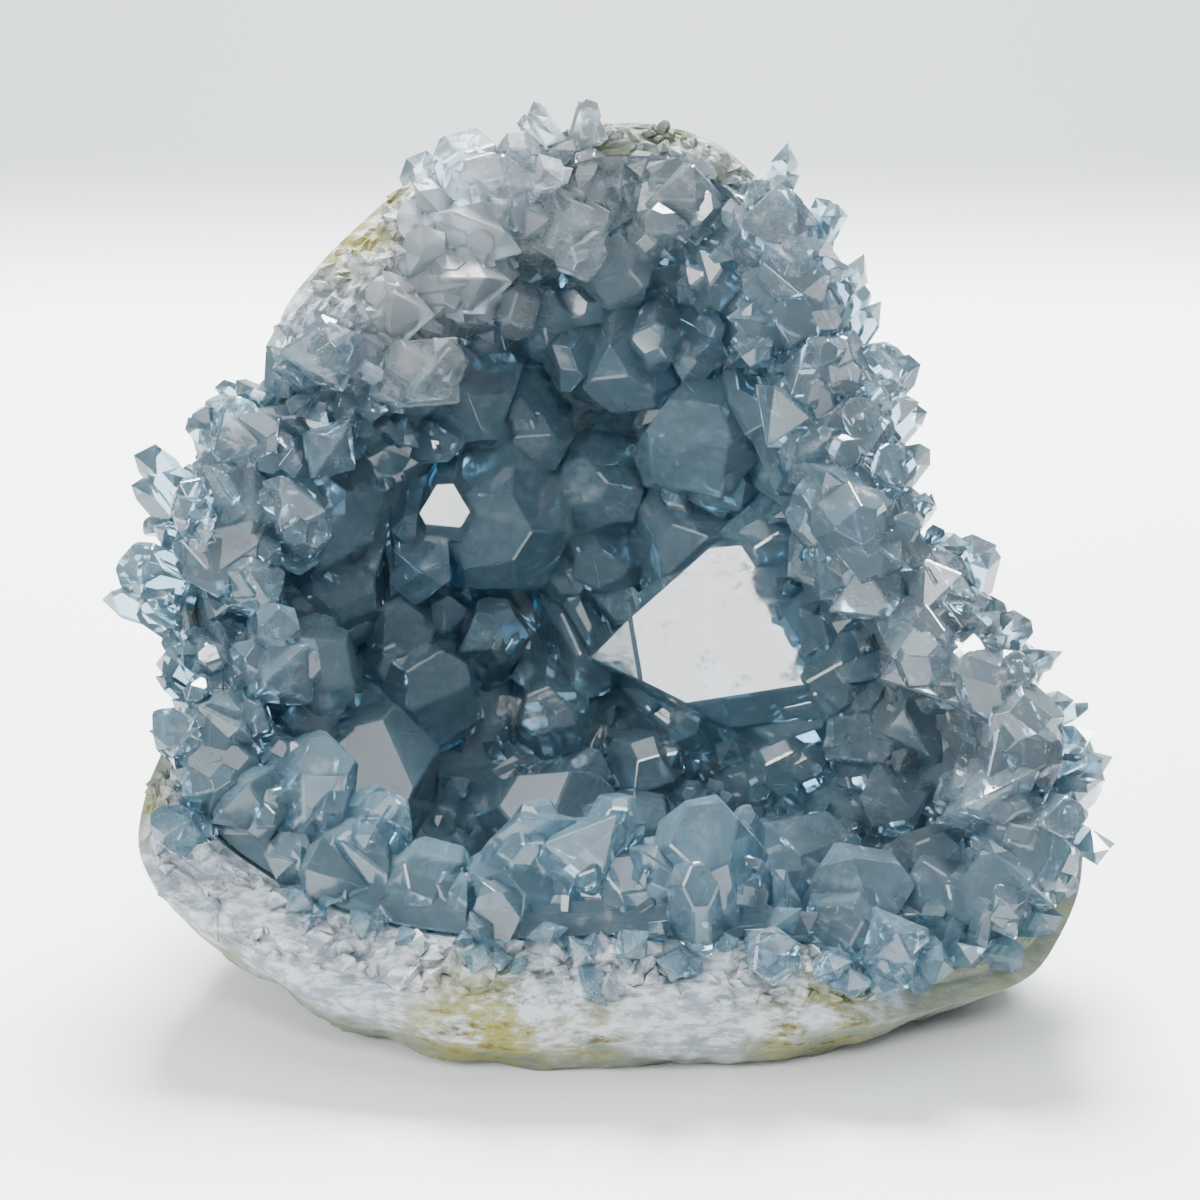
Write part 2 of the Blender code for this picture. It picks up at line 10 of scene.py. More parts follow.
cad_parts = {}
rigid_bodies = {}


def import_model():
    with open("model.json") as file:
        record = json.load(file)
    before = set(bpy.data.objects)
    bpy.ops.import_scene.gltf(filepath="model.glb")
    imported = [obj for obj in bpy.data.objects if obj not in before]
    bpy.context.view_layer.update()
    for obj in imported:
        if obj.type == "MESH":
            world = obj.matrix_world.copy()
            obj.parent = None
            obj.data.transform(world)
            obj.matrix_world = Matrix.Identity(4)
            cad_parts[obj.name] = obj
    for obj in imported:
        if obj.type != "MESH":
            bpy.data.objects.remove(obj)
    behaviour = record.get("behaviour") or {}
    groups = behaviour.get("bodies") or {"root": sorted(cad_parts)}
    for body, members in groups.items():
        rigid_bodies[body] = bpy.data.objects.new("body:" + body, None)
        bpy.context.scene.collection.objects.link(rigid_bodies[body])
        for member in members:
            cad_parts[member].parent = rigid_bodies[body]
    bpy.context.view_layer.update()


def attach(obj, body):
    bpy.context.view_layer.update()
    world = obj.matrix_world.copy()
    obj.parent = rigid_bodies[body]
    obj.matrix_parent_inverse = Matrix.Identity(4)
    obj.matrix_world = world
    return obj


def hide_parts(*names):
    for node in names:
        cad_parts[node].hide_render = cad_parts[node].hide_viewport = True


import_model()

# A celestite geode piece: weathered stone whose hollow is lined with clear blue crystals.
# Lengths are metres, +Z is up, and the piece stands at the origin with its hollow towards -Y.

bl_info = {
    "name": "Celestite geode piece",
    "version": (1, 0, 0),
    "blender": (4, 5, 0),
    "location": "3D View > Sidebar > Celestite",
    "description": "Builds the stone, the crystals and the stage of a celestite geode piece",
    "category": "Add Mesh",
}

MM = 0.001

# The broken rim lies in a plane that leans back. UP_RIM runs up that plane and OUT stands out of it,
# so a point of the bowl is RIM_MIDDLE + x * RIGHT + up * UP_RIM + out * OUT.
RIM_LEAN = math.radians(46)
RIGHT = Vector((1, 0, 0))
UP_RIM = Vector((0, math.cos(RIM_LEAN), math.sin(RIM_LEAN)))
OUT = Vector((0, -math.sin(RIM_LEAN), math.cos(RIM_LEAN)))
RIM_MIDDLE = Vector((0, 3.2, 48.8)) * MM

# The bowl, from its deepest point to the rim, with lumps that fade out at the rim.
DEEPEST_UP = -2 * MM
OUTER_DEPTH = 50 * MM
INNER_DEPTH = 42 * MM
RIM_TURN = math.radians(80)
LUMP_HEIGHT = 2.2 * MM
LUMP_SIZE = 21 * MM
FOOT_BULGE = 12 * MM
EDGE_CROWN = 1.2 * MM

# The rim, anticlockwise from the right as seen from the front, in millimetres:
# right of the middle, up the rim plane, width of the broken edge, and how far the edge stands out.
RIM_ROWS_MM = (
    (43, 1, 1.8, -2),
    (37, 11, 1.8, -1),
    (34.5, 20, 2, 0),
    (31, 31, 2, 1),
    (26.5, 45, 2.5, 1),
    (19.5, 57, 4, 1),
    (9.5, 65.5, 5, 0),
    (-4.5, 66.5, 5, -1),
    (-18, 60.5, 6, -1),
    (-30, 50.5, 9, 0),
    (-39.5, 39, 9, 1),
    (-46.5, 27.5, 4.5, 0),
    (-53.5, 15, 2.2, -1),
    (-56, 1, 2.2, 0),
    (-54, -14, 3, 1),
    (-57, -26.5, 6, 0),
    (-56, -35, 8, -1),
    (-48.5, -43, 9, -1),
    (-37, -49, 8.5, 0),
    (-20, -53, 8, 1),
    (0, -53.5, 8, 1),
    (20, -53, 8, 0),
    (36, -51, 6, -1),
    (48.5, -47, 4, -1),
    (54, -39, 2.5, 0),
    (55.5, -29, 2, 0),
    (50, -13.5, 1.8, -1),
)

# The crust's bed, and the gap that it keeps to the stone.
CRUST_GAP = 0.3 * MM
BED_GAP = 0.5 * MM
BED_THICK = 5.5 * MM
BED_RIM_THINNING = 0.3
BED_UNEVEN = 1.4 * MM
BED_LUMP = 7 * MM
# How far above the stone a crystal starts, inside the bed, for a large one and a small one.
LARGE_START = 1 * MM
SMALL_START = 3.5 * MM

# The camera's height above the level, from which the places of the large crystals are given.
SEEN_FROM = math.radians(24)
SEEN_UP = Vector((0, math.sin(SEEN_FROM), math.cos(SEEN_FROM)))
SEEN_DEEP = Vector((0, math.cos(SEEN_FROM), -math.sin(SEEN_FROM)))
# The part of a crystal's length at which its place is given.
PLACE_SHARE = 0.6

# The large crystals. Millimetres: right and up of the rim's middle as seen from the front, then
# width, thickness and length. Degrees: where the tip points (0 right, 90 up), how far it comes towards
# the front (90 straight out), and its turn about its own length. Last, the share of the width that
# the flat end keeps.
LARGE_CRYSTALS = (
    # The big bright plate and the blocks round it
    (16, -8, 25, 21, 19, 85, 48, 8, 0.82),
    (10, 5, 16, 14, 21, 300, 52, 40, 0.55),
    (21, 4, 15, 12, 17, 60, 42, 5, 0.6),
    (23, -18, 15, 12, 15, 285, 45, 20, 0.3),
    (11, -19, 11, 10, 13, 255, 50, 30, 0.3),
    (29, -11, 13, 11, 18, 330, 50, 0, 0.35),
    # The upper wall, whose crystals hang forward
    (-15.5, 7, 20, 15, 24, 268, 42, 5, 0.3),
    (1.5, 29.5, 14, 12, 20, 264, 46, 10, 0.42),
    (9, 30, 10, 9, 17, 285, 48, 60, 0.3),
    (-2.5, 12, 14, 11, 18, 250, 52, 25, 0.35),
    (-3, 3, 12, 9, 18, 300, 42, 15, 0.28),
    (-6, -8, 12, 9, 24, 296, 26, 20, 0.12),
    (12, 18, 17, 13, 20, 240, 56, 0, 0.45),
    (19, 22, 12, 11, 16, 280, 52, 35, 0.4),
    (27, 14, 15, 13, 18, 320, 54, 15, 0.45),
    (1, 41, 11, 9, 13, 262, 55, 30, 0.4),
    (-9, 34, 10, 9, 13, 245, 54, 10, 0.3),
    (13, 40, 10, 9, 12, 290, 56, 50, 0.35),
    (21, 34, 11, 9, 12, 300, 56, 0, 0.4),
    (-20, 23, 13, 11, 15, 250, 54, 20, 0.4),
    (-12, 20, 13, 9, 15, 272, 50, 0, 0.5),
    (-27, 26, 12, 10, 12, 240, 62, 35, 0.4),
    (-19, 36, 11, 9, 11, 230, 60, 15, 0.3),
    # The brow at the top
    (-4, 50, 11, 9, 9, 262, 48, 10, 0.4),
    (6.5, 48.5, 10, 8, 9, 255, 52, 25, 0.4),
    (16, 45, 10, 8, 9, 300, 55, 30, 0.35),
    (-13, 45, 11, 9, 9, 220, 55, 10, 0.4),
    # The left side
    (-45, 16, 15, 12, 12, 205, 62, 55, 0.5),
    (-37, 8, 15, 12, 16, 300, 52, 20, 0.4),
    (-49, -2, 14, 11, 11, 215, 52, 25, 0.4),
    (-37, -3, 15, 9, 15, 345, 48, 10, 0.25),
    (-26, 4, 10, 8, 20, 272, 44, 40, 0.4),
    (-48, -12, 11, 9, 11, 320, 52, 30, 0.3),
    # The left of the floor
    (-39, -13, 14, 12, 17, 30, 55, 15, 0.4),
    (-28, -8, 11, 9, 18, 95, 52, 30, 0.15),
    (-25, -15.5, 18, 13, 19, 330, 50, 15, 0.4),
    (-33, -27, 22, 17, 18, 80, 62, 20, 0.6),
    (-46, -24, 11, 10, 12, 120, 40, 10, 0.4),
    (-46.5, -33, 10, 8, 19, 84, 10, 25, 0.1),
    (-37, -40, 12, 10, 13, 100, 24, 35, 0.4),
    (-26, -39, 11, 9, 12, 70, 26, 0, 0.35),
    # The middle of the floor
    (-17, -9, 9, 8, 18, 60, 52, 30, 0.2),
    (-9, -18, 14, 11, 17, 290, 52, 15, 0.35),
    (-9, -32, 22, 14, 17, 25, 46, 60, 0.5),
    (2, -33, 15, 12, 14, 60, 44, 10, 0.3),
    (4, -25, 10, 8, 14, 90, 58, 20, 0.3),
    (12, -34, 13, 11, 19, 98, 22, 15, 0.14),
    (22, -36, 19, 13, 15, 70, 28, 40, 0.35),
    (22, -25, 10, 8, 13, 110, 54, 20, 0.3),
    (3, -42, 15, 10, 12, 95, 16, 10, 0.4),
    (-14, -42, 14, 10, 12, 80, 18, 30, 0.4),
    (33, -42, 13, 10, 13, 70, 18, 20, 0.35),
    # The right side
    (38, -18, 17, 15, 17, 10, 62, 20, 0.5),
    (52, -24, 13, 12, 15, 5, 46, 30, 0.5),
    (47, -12, 11, 9, 13, 20, 52, 45, 0.4),
    (40, -3, 12, 10, 15, 40, 52, 10, 0.4),
    (36, -28, 10, 9, 13, 200, 56, 30, 0.4),
    (45, -29, 10, 8, 12, 330, 52, 0, 0.3),
    (38, -36, 12, 9, 14, 100, 26, 20, 0.25),
    (48, -36, 13, 10, 12, 40, 30, 65, 0.45),
    (45, -43, 12, 9, 11, 70, 20, 10, 0.5),
    (33, 4, 12, 10, 16, 350, 55, 25, 0.4),
    (29, 24, 11, 9, 13, 345, 52, 20, 0.45),
)

# A large crystal's side faces turn this far from its width and cut the block's corners to this share.
PRISM_TURN = math.radians(40)
PRISM_REACH = (0.48, 0.6)
# How steeply its end falls away to both sides of its ridge and to both ends of it, in degrees.
RIDGE_SLOPE = (38, 50)
END_SLOPE = (42, 58)
UNEVEN = 0.06
GIRTH = 1.15
ROOT_REACH = 0.96

# The small crystals that fill the rest of the wall.
FILL_COUNT = 66
FILL_REACH = 0.98
FILL_WIDTH = (6.5 * MM, 11 * MM)
FILL_SMALLER_AT_RIM = 0.3
FILL_SPREAD = 0.35
FILL_SEED = 11
GOLDEN_TURN = math.pi * (3 - math.sqrt(5))
CLEAR_SHARE = 0.75
RIM_CLEAR_SHARE = 0.5
# Each row along the rim: how many, how far in, and how far below the rim their roots lie.
RIM_CRYSTAL_ROWS = ((32, -1.5 * MM, 3.5 * MM), (22, 5 * MM, 5.5 * MM))
RIM_CRYSTAL_WIDTH = (9 * MM, 15 * MM)
RIM_CRYSTAL_LENGTH = (8 * MM, 12 * MM)
RIM_LEAN_IN = 0.25
RIM_SPREAD = 0.25
RIM_LOOSE = 0.3

# How the bright plate differs from the solid's: swung towards the viewer, wider and further right.
PLATE_SWING = math.radians(30)
PLATE_WIDENING = 1.7
PLATE_SHIFT = 3.2 * MM

# The fine shape that the solids leave out.
EDGE_BEVEL = 0.22 * MM
SIDE_GROWTHS = (2, 4)
SIDE_GROWTH_SIZE = (0.32, 0.7)
SIDE_GROWTH_LENGTH = (0.72, 0.99)
SIDE_GROWTH_TURNS = ((7, "X"), (7, "Y"), (12, "Z"))
SMALL_GROWTH_FLAT = 0.4
EDGE_GROWTH_SHORTER = 0.88
DETAIL_SEED = 5
# Where the broken edge lies bare, as directions round the rim and half-widths, both in degrees.
# Elsewhere the stone ends lower, and crystals reach the outline.
BARE_PLACES = ((254, 56), (127, 17))
EDGE_LOWERED = 0.065
EDGE_CRYSTAL_COUNT = 105
EDGE_CRYSTAL_WIDTH = (7 * MM, 13.5 * MM)
EDGE_CRYSTAL_LENGTH = (10 * MM, 14 * MM)
EDGE_CLEAR_SHARE = 0.5
EDGE_LOOSE = 0.4
EDGE_INSET_MM = (0.6, 3)
EDGE_ROOT_DEEP = 7 * MM
EDGE_LEAN = (-0.15, 0.3)
EDGE_SPREAD = 0.22
EDGE_FLAT = (0.35, 0.75)
SEAM_CRYSTAL_COUNT = 150
SEAM_CRYSTAL_WIDTH = (2.5 * MM, 5.5 * MM)
SEAM_ROOT_DEEP = 3.5 * MM
SEAM_LEAN = (0, 0.8)
SEAM_SPREAD = 0.35
DRUSE_WIDTH_MM = (2.2, 5)
DRUSE_LENGTH_MM = (6, 10.5)
DRUSE_SPREAD = 0.3
# How far past the skin crystals are cut away, the share of the bowl where that has faded out, and
# the share over which it fades.
ROOM_BEYOND = 12 * MM
ROOM_FROM_RIM = 0.97
ROOM_FADE = 0.15
STONE_SECTORS = 300
STONE_OUTER_RINGS = 90
STONE_EDGE_RINGS = 16
STONE_INNER_RINGS = 12
BED_SECTORS = 110
BED_RINGS = 16

# How many times light is followed on from face to face.
MOST_BOUNCES = 5

# Each light's name, its place from the rim's middle and its size, in metres.
LIGHTS = (
    ("key", (0.02, 0.44, 0.58), 0.36),
    ("front", (0.1, -0.58, 0.63), 0.2),
    ("top", (-0.05, 0.0, 0.8), 0.5),
    ("fill", (-0.55, -0.4, 0.3), 0.4),
)
SKY_COLOUR = (0.92, 0.95, 1, 1)

# The floor and the backdrop that it bends up into, in metres.
STAGE_HALF_WIDTH = 1.5
FLOOR_FRONT = -1.2
BEND_START = 0.2
BEND_RADIUS = 0.3
BEND_STEPS = 12
BEND_TURN = math.radians(80)
BACKDROP_END = (0.6, 1.2)

# The camera. The rim's middle shows a little right of and above the middle of the picture.
LENS_MM = 85
SENSOR_MM = 36
PICTURE_SIDE = 1200
PIXELS_PER_MM = 8.2
RIM_MIDDLE_PIXEL = (617, 575)


def wrapped(knots, angle):
    """The value at angle of a smooth curve that goes round through (angle, value) knots."""
    full = 2 * math.pi
    count = len(knots)
    angle = angle % full
    after = next((i for i, knot in enumerate(knots) if knot[0] > angle), count)
    near = []
    for step in (-2, -1, 0, 1):
        laps, place = divmod(after + step, count)
        near.append((knots[place][0] + laps * full, knots[place][1]))
    (a0, v0), (a1, v1), (a2, v2), (a3, v3) = near
    share = (angle - a1) / (a2 - a1)
    slope_1 = (v2 - v0) / (a2 - a0) * (a2 - a1)
    slope_2 = (v3 - v1) / (a3 - a1) * (a2 - a1)
    square, cube = share * share, share**3
    return (
        v1 * (2 * cube - 3 * square + 1)
        + slope_1 * (cube - 2 * square + share)
        + v2 * (3 * square - 2 * cube)
        + slope_2 * (cube - square)
    )


def rim_knots():
    """The rim's radius, edge width and stand-out, each as knots by angle round the deepest point."""
    rows = []
    for right, up, edge, stand in RIM_ROWS_MM:
        offset = (right * MM, up * MM - DEEPEST_UP)
        angle = math.atan2(offset[1], offset[0]) % (2 * math.pi)
        rows.append((angle, math.hypot(*offset), edge * MM, stand * MM))
    rows.sort()
    return tuple([(row[0], row[column]) for row in rows] for column in (1, 2, 3))


RIM_RADIUS, RIM_EDGE, RIM_STAND = rim_knots()


def bowl_point(angle, share, depth, inset):
    """A point of the bowl as (right, up, out). share runs from 0 at the deepest point to 1 at the rim."""
    turn = share * RIM_TURN
    deep = (math.cos(turn) - math.cos(RIM_TURN)) / (1 - math.cos(RIM_TURN))
    radius = (wrapped(RIM_RADIUS, angle) - inset) * math.sin(turn) / math.sin(RIM_TURN)
    out = wrapped(RIM_STAND, angle) * (1 - deep) - depth * deep
    return radius * math.cos(angle), DEEPEST_UP + radius * math.sin(angle), out


def placed(point):
    """A (right, up, out) point in the object's own axes."""
    return RIM_MIDDLE + RIGHT * point[0] + UP_RIM * point[1] + OUT * point[2]


def inner_height(right, up):
    """How far out the inner wall lies at a place of the rim plane, and past the rim the rim's own height."""
    angle = math.atan2(up - DEEPEST_UP, right)
    radius = math.hypot(right, up - DEEPEST_UP)
    full = wrapped(RIM_RADIUS, angle) - wrapped(RIM_EDGE, angle)
    turn = math.asin(min(1.0, radius / full) * math.sin(RIM_TURN))
    deep = (math.cos(turn) - math.cos(RIM_TURN)) / (1 - math.cos(RIM_TURN))
    return wrapped(RIM_STAND, angle) * (1 - deep) - INNER_DEPTH * deep


def inner_normal(right, up):
    """The direction in which the inner wall faces."""
    step = 0.5 * MM
    slope_right = (inner_height(right + step, up) - inner_height(right - step, up)) / (2 * step)
    slope_up = (inner_height(right, up + step) - inner_height(right, up - step)) / (2 * step)
    return (OUT - RIGHT * slope_right - UP_RIM * slope_up).normalized()


def kept_inside(right, up):
    """A place of the rim plane, pulled in where it lies too near the rim."""
    angle = math.atan2(up - DEEPEST_UP, right)
    full = wrapped(RIM_RADIUS, angle) - wrapped(RIM_EDGE, angle)
    share = min(1.0, ROOT_REACH * full / math.hypot(right, up - DEEPEST_UP))
    return right * share, DEEPEST_UP + (up - DEEPEST_UP) * share


def on_inner_wall(seen_right, seen_up):
    """The (right, up) place of the inner wall that shows at a point as seen from the front."""
    near, far = -90 * MM, 90 * MM
    for _ in range(40):
        middle = (near + far) / 2
        point = RIGHT * seen_right + SEEN_UP * seen_up + SEEN_DEEP * middle
        right, up, out = point.dot(RIGHT), point.dot(UP_RIM), point.dot(OUT)
        if out > inner_height(right, up):
            near = middle
        else:
            far = middle
    return kept_inside(right, up)


def covered(angle):
    """How fully crystals hide the broken edge: 1 where they reach the outline, 0 where it lies bare."""
    bare = 0.0
    for middle, half in BARE_PLACES:
        away = abs((math.degrees(angle) - middle + 180) % 360 - 180) / half
        fade = min(1.0, max(0.0, 3 * (1 - away)))
        bare = max(bare, fade * fade * (3 - 2 * fade))
    return 1 - bare


def stone_reach(angle):
    """The share of the bowl at which the stone ends."""
    return 1 - EDGE_LOWERED * covered(angle)


def edge_point(angle, share, lift=0.0):
    """A point of the broken edge, from the skin at 0 to the inner wall at 1."""
    reach = stone_reach(angle)
    skin = Vector(bowl_point(angle, reach, OUTER_DEPTH, 0))
    wall = Vector(bowl_point(angle, reach, INNER_DEPTH, wrapped(RIM_EDGE, angle)))
    right, up, out = skin.lerp(wall, share)
    return placed((right, up, out + EDGE_CROWN * min(1, 4 * min(share, 1 - share)) + lift))


def outer_point(angle, share):
    """A point of the weathered skin, with its lumps."""
    share *= stone_reach(angle)
    bulge = FOOT_BULGE * max(0, -math.sin(angle)) ** 2 * math.sqrt(math.sin(math.pi * min(share, 1)))
    point = placed(bowl_point(angle, share, OUTER_DEPTH, -bulge))
    away = (point - RIM_MIDDLE).normalized()
    lump = LUMP_HEIGHT * noise.fractal(point / LUMP_SIZE, 0.6, 2.1, 3) * min(1, 3 * (1.05 - share))
    return point, away, lump


def skin_roughness(point):
    """The fine relief of the skin: knobs, thin ridges and pits."""
    knobs = 0.45 * MM * noise.fractal(point / (5 * MM), 0.8, 2.0, 3)
    along = Vector((point.x / (9 * MM), point.y / (2.2 * MM), point.z / (2.2 * MM)))
    ridges = 0.35 * MM * (1 - 2 * abs(noise.noise(along)))
    pit = max(0.0, noise.noise(point / (2.6 * MM)) - 0.42)
    return knobs + ridges - 2.2 * MM * pit


def broken_roughness(point):
    """The relief of the broken edge: blocky steps with sugary grains."""
    steps = 1.6 * MM * noise.noise(point / (6 * MM))
    blocks = 0.5 * MM * (noise.cell(point / (2.4 * MM) + Vector((noise.noise(point / (2 * MM)),) * 3)) - 0.5)
    grains = 0.35 * MM * noise.fractal(point / (1.3 * MM), 0.9, 2.0, 2)
    return steps + blocks + grains


def skin_ring(shape, count, share):
    ring = []
    for i in range(count):
        point, away, lump = outer_point(2 * math.pi * i / count, share)
        point = point + away * (lump + skin_roughness(point) * min(1, 12 * (1 - share)))
        point.z = max(point.z, 0.0)
        ring.append(shape.verts.new(point))
    return ring


def edge_ring(shape, count, share):
    ring = []
    for i in range(count):
        point = edge_point(2 * math.pi * i / count, share)
        rough = broken_roughness(point) * min(1, 5 * min(share, 1 - share))
        ring.append(shape.verts.new(point + OUT * rough))
    return ring


def inner_ring(shape, count, share, lift, uneven=0.0):
    """One ring of the inner wall, lifted into the hollow. Only the uneven bed runs up to the full rim."""
    ring = []
    for i in range(count):
        angle = 2 * math.pi * i / count
        reach = share if uneven else share * stone_reach(angle)
        right, up, out = bowl_point(angle, reach, INNER_DEPTH, wrapped(RIM_EDGE, angle))
        rise = lift
        if uneven:
            place = Vector((right, up, out))
            rise += uneven * (noise.noise(place / BED_LUMP) + 0.35 * noise.noise(place / (2.5 * MM)))
        side = rise * math.sin(share * RIM_TURN)
        over = rise * math.cos(share * RIM_TURN)
        inwards = (right - math.cos(angle) * side, up - math.sin(angle) * side, out + over)
        ring.append(shape.verts.new(placed(inwards)))
    return ring


def bridge(shape, lower, upper):
    """Quads between two closed rings of the same length."""
    for i in range(len(lower)):
        after = (i + 1) % len(lower)
        shape.faces.new((lower[i], lower[after], upper[after], upper[i]))


def cap(shape, ring, middle):
    """A fan of triangles from a ring to one point."""
    top = shape.verts.new(middle)
    for i in range(len(ring)):
        shape.faces.new((ring[i], ring[(i + 1) % len(ring)], top))


def fill_stone(shape):
    """The whole stone: skin, broken edge and inner wall, flat where it stands."""
    count = STONE_SECTORS
    rings = [skin_ring(shape, count, (i + 1) / STONE_OUTER_RINGS) for i in range(STONE_OUTER_RINGS)]
    rings += [edge_ring(shape, count, i / STONE_EDGE_RINGS) for i in range(1, STONE_EDGE_RINGS)]
    shares = [(i + 1) / STONE_INNER_RINGS for i in reversed(range(STONE_INNER_RINGS))]
    rings += [inner_ring(shape, count, share, 0) for share in shares]
    for lower, upper in zip(rings, rings[1:]):
        bridge(shape, lower, upper)
    bottom = placed((0, DEEPEST_UP, -OUTER_DEPTH))
    cap(shape, rings[0], Vector((bottom.x, bottom.y, max(bottom.z, 0))))
    cap(shape, rings[-1], placed((0, DEEPEST_UP, -INNER_DEPTH)))


def fill_room_of_stone(shape):
    """The room that the crust leaves to the stone. Below the rim it reaches past the skin, to cut the
    crystals that poke through the wall."""
    count = BED_SECTORS
    rings = []
    for i in range(BED_RINGS):
        share = (i + 1) / BED_RINGS
        beyond = CRUST_GAP + ROOM_BEYOND * min(1, max(0, (ROOM_FROM_RIM - share) / ROOM_FADE))
        ring = []
        for j in range(count):
            point, away, lump = outer_point(2 * math.pi * j / count, share)
            ring.append(shape.verts.new(point + away * (lump + beyond)))
        rings.append(ring)
    for share in (0.35, 0.7):
        angles = [2 * math.pi * j / count for j in range(count)]
        rings.append([shape.verts.new(edge_point(angle, share, CRUST_GAP)) for angle in angles])
    shares = [(i + 1) / BED_RINGS for i in reversed(range(BED_RINGS))]
    rings += [inner_ring(shape, count, share, CRUST_GAP) for share in shares]
    for lower, upper in zip(rings, rings[1:]):
        bridge(shape, lower, upper)
    cap(shape, rings[0], placed((0, DEEPEST_UP, -OUTER_DEPTH - CRUST_GAP - ROOM_BEYOND)))
    cap(shape, rings[-1], placed((0, DEEPEST_UP, -INNER_DEPTH + CRUST_GAP)))


def fill_crust_bed(shape):
    """The uneven sheet that the crystals grow from."""
    shares = [(i + 1) / BED_RINGS for i in range(BED_RINGS)]
    rings = [inner_ring(shape, BED_SECTORS, share, BED_GAP) for share in shares]
    for share in reversed(shares):
        thick = BED_THICK * (1 - BED_RIM_THINNING * share**5)
        rings.append(inner_ring(shape, BED_SECTORS, share, BED_GAP + thick, BED_UNEVEN))
    for lower, upper in zip(rings, rings[1:]):
        bridge(shape, lower, upper)
    cap(shape, rings[0], placed((0, DEEPEST_UP, BED_GAP - INNER_DEPTH)))
    cap(shape, rings[-1], placed((0, DEEPEST_UP, BED_GAP + BED_THICK - INNER_DEPTH)))


def tilted(direction, chance, spread):
    """A direction a little off another, as on a crystal that grew in a crowd."""
    return (direction + Vector([chance.gauss(0, spread) for _ in range(3)])).normalized()


def crystal_cuts(width, thick, length, flat, chance):
    """The planes, as (point, normal), that trim a block to a crystal: its sides, its ridge and its ends."""
    cuts = []
    for side in (-1, 1):
        for face in (-1, 1):
            normal = Vector((side * math.cos(PRISM_TURN), face * math.sin(PRISM_TURN), 0))
            reach = (width * math.cos(PRISM_TURN) + thick * math.sin(PRISM_TURN)) / 2
            cuts.append((normal * reach * chance.uniform(*PRISM_REACH), tilted(normal, chance, UNEVEN)))
        steep = math.radians(chance.uniform(*RIDGE_SLOPE))
        start = Vector((0, side * thick * flat / 2 * chance.uniform(0.8, 1.2), length))
        slope = Vector((0, side * math.sin(steep), math.cos(steep)))
        cuts.append((start, tilted(slope, chance, UNEVEN)))
        steep = math.radians(chance.uniform(*END_SLOPE))
        kept = width * (0.15 + 0.7 * flat) / 2
        start = Vector((side * kept * chance.uniform(0.6, 1.3), 0, length))
        slope = Vector((side * math.sin(steep), 0, math.cos(steep)))
        cuts.append((start, tilted(slope, chance, UNEVEN)))
    return cuts


def trim(shape, point, normal):
    """Cuts away what lies beyond a plane and closes the cut."""
    everything = shape.verts[:] + shape.edges[:] + shape.faces[:]
    cut = bmesh.ops.bisect_plane(
        shape, geom=everything, plane_co=point, plane_no=normal, clear_outer=True
    )
    loop = [piece for piece in cut["geom_cut"] if isinstance(piece, bmesh.types.BMEdge)]
    if loop:
        bmesh.ops.edgeloop_fill(shape, edges=loop)


def fill_crystal(shape, size, flat, chance):
    """One crystal that starts just above z = 0 and has its tip at the top, trimmed by planes."""
    width, thick, length = size
    box = bmesh.ops.create_cube(shape, size=1)["verts"]
    height = length - LARGE_START
    bmesh.ops.scale(shape, vec=(width, thick, height), verts=box)
    bmesh.ops.translate(shape, vec=(0, 0, length - height / 2), verts=box)
    for point, normal in crystal_cuts(width, thick, length, flat, chance):
        trim(shape, point, normal)


def blunt_edges(shape, width):
    """Takes the sharpness off the edges, as on a crystal that has been handled."""
    bmesh.ops.recalc_face_normals(shape, faces=shape.faces)
    bmesh.ops.bevel(
        shape, geom=shape.edges[:], offset=width, segments=1, affect="EDGES", clamp_overlap=True
    )


def fill_small_crystal(shape, size, chance, start=SMALL_START):
    """A small crystal: a rhombic prism that ends in a ridge."""
    width, thick, length = size
    shoulder = length - thick * chance.uniform(0.4, 0.6)
    outline = ((width / 2, 0), (0, thick / 2), (-width / 2, 0), (0, -thick / 2))
    foot = [shape.verts.new((x, y, start)) for x, y in outline]
    side = [shape.verts.new((x, y, shoulder * chance.uniform(0.85, 1))) for x, y in outline]
    ends = (chance.uniform(0.15, 0.38), -chance.uniform(0.15, 0.38))
    ridge = [shape.verts.new((width * end, 0, length)) for end in ends]
    shape.faces.new(foot)
    bridge(shape, foot, side)
    shape.faces.new((side[0], side[1], ridge[0]))
    shape.faces.new((side[0], ridge[0], side[3]))
    shape.faces.new((side[2], side[3], ridge[1]))
    shape.faces.new((side[2], ridge[1], side[1]))
    shape.faces.new((side[1], ridge[1], ridge[0]))
    shape.faces.new((side[3], ridge[0], ridge[1]))


def standing(root, axis, turn):
    """The place of a crystal whose root is at a point and whose length runs along an axis."""
    across = (RIGHT - axis * RIGHT.dot(axis)).normalized()
    across.rotate(Matrix.Rotation(turn, 3, axis))
    turned = Matrix((across, axis.cross(across), axis)).transposed().to_4x4()
    return Matrix.Translation(root) @ turned


def large_crystals():
    """Each large crystal as (place, size, flat share, root)."""
    for right, up, width, thick, length, heading, rise, turn, flat in LARGE_CRYSTALS:
        heading, rise = math.radians(heading), math.radians(rise)
        axis = RIGHT * math.cos(rise) * math.cos(heading) + SEEN_UP * math.cos(rise) * math.sin(heading)
        axis -= SEEN_DEEP * math.sin(rise)
        reach = PLACE_SHARE * length * MM
        root_right, root_up = on_inner_wall(
            right * MM - reach * axis.dot(RIGHT), up * MM - reach * axis.dot(SEEN_UP)
        )
        root = placed((root_right, root_up, inner_height(root_right, root_up)))
        size = (GIRTH * width * MM, GIRTH * thick * MM, length * MM)
        yield standing(root, axis.normalized(), math.radians(turn)), size, flat, root


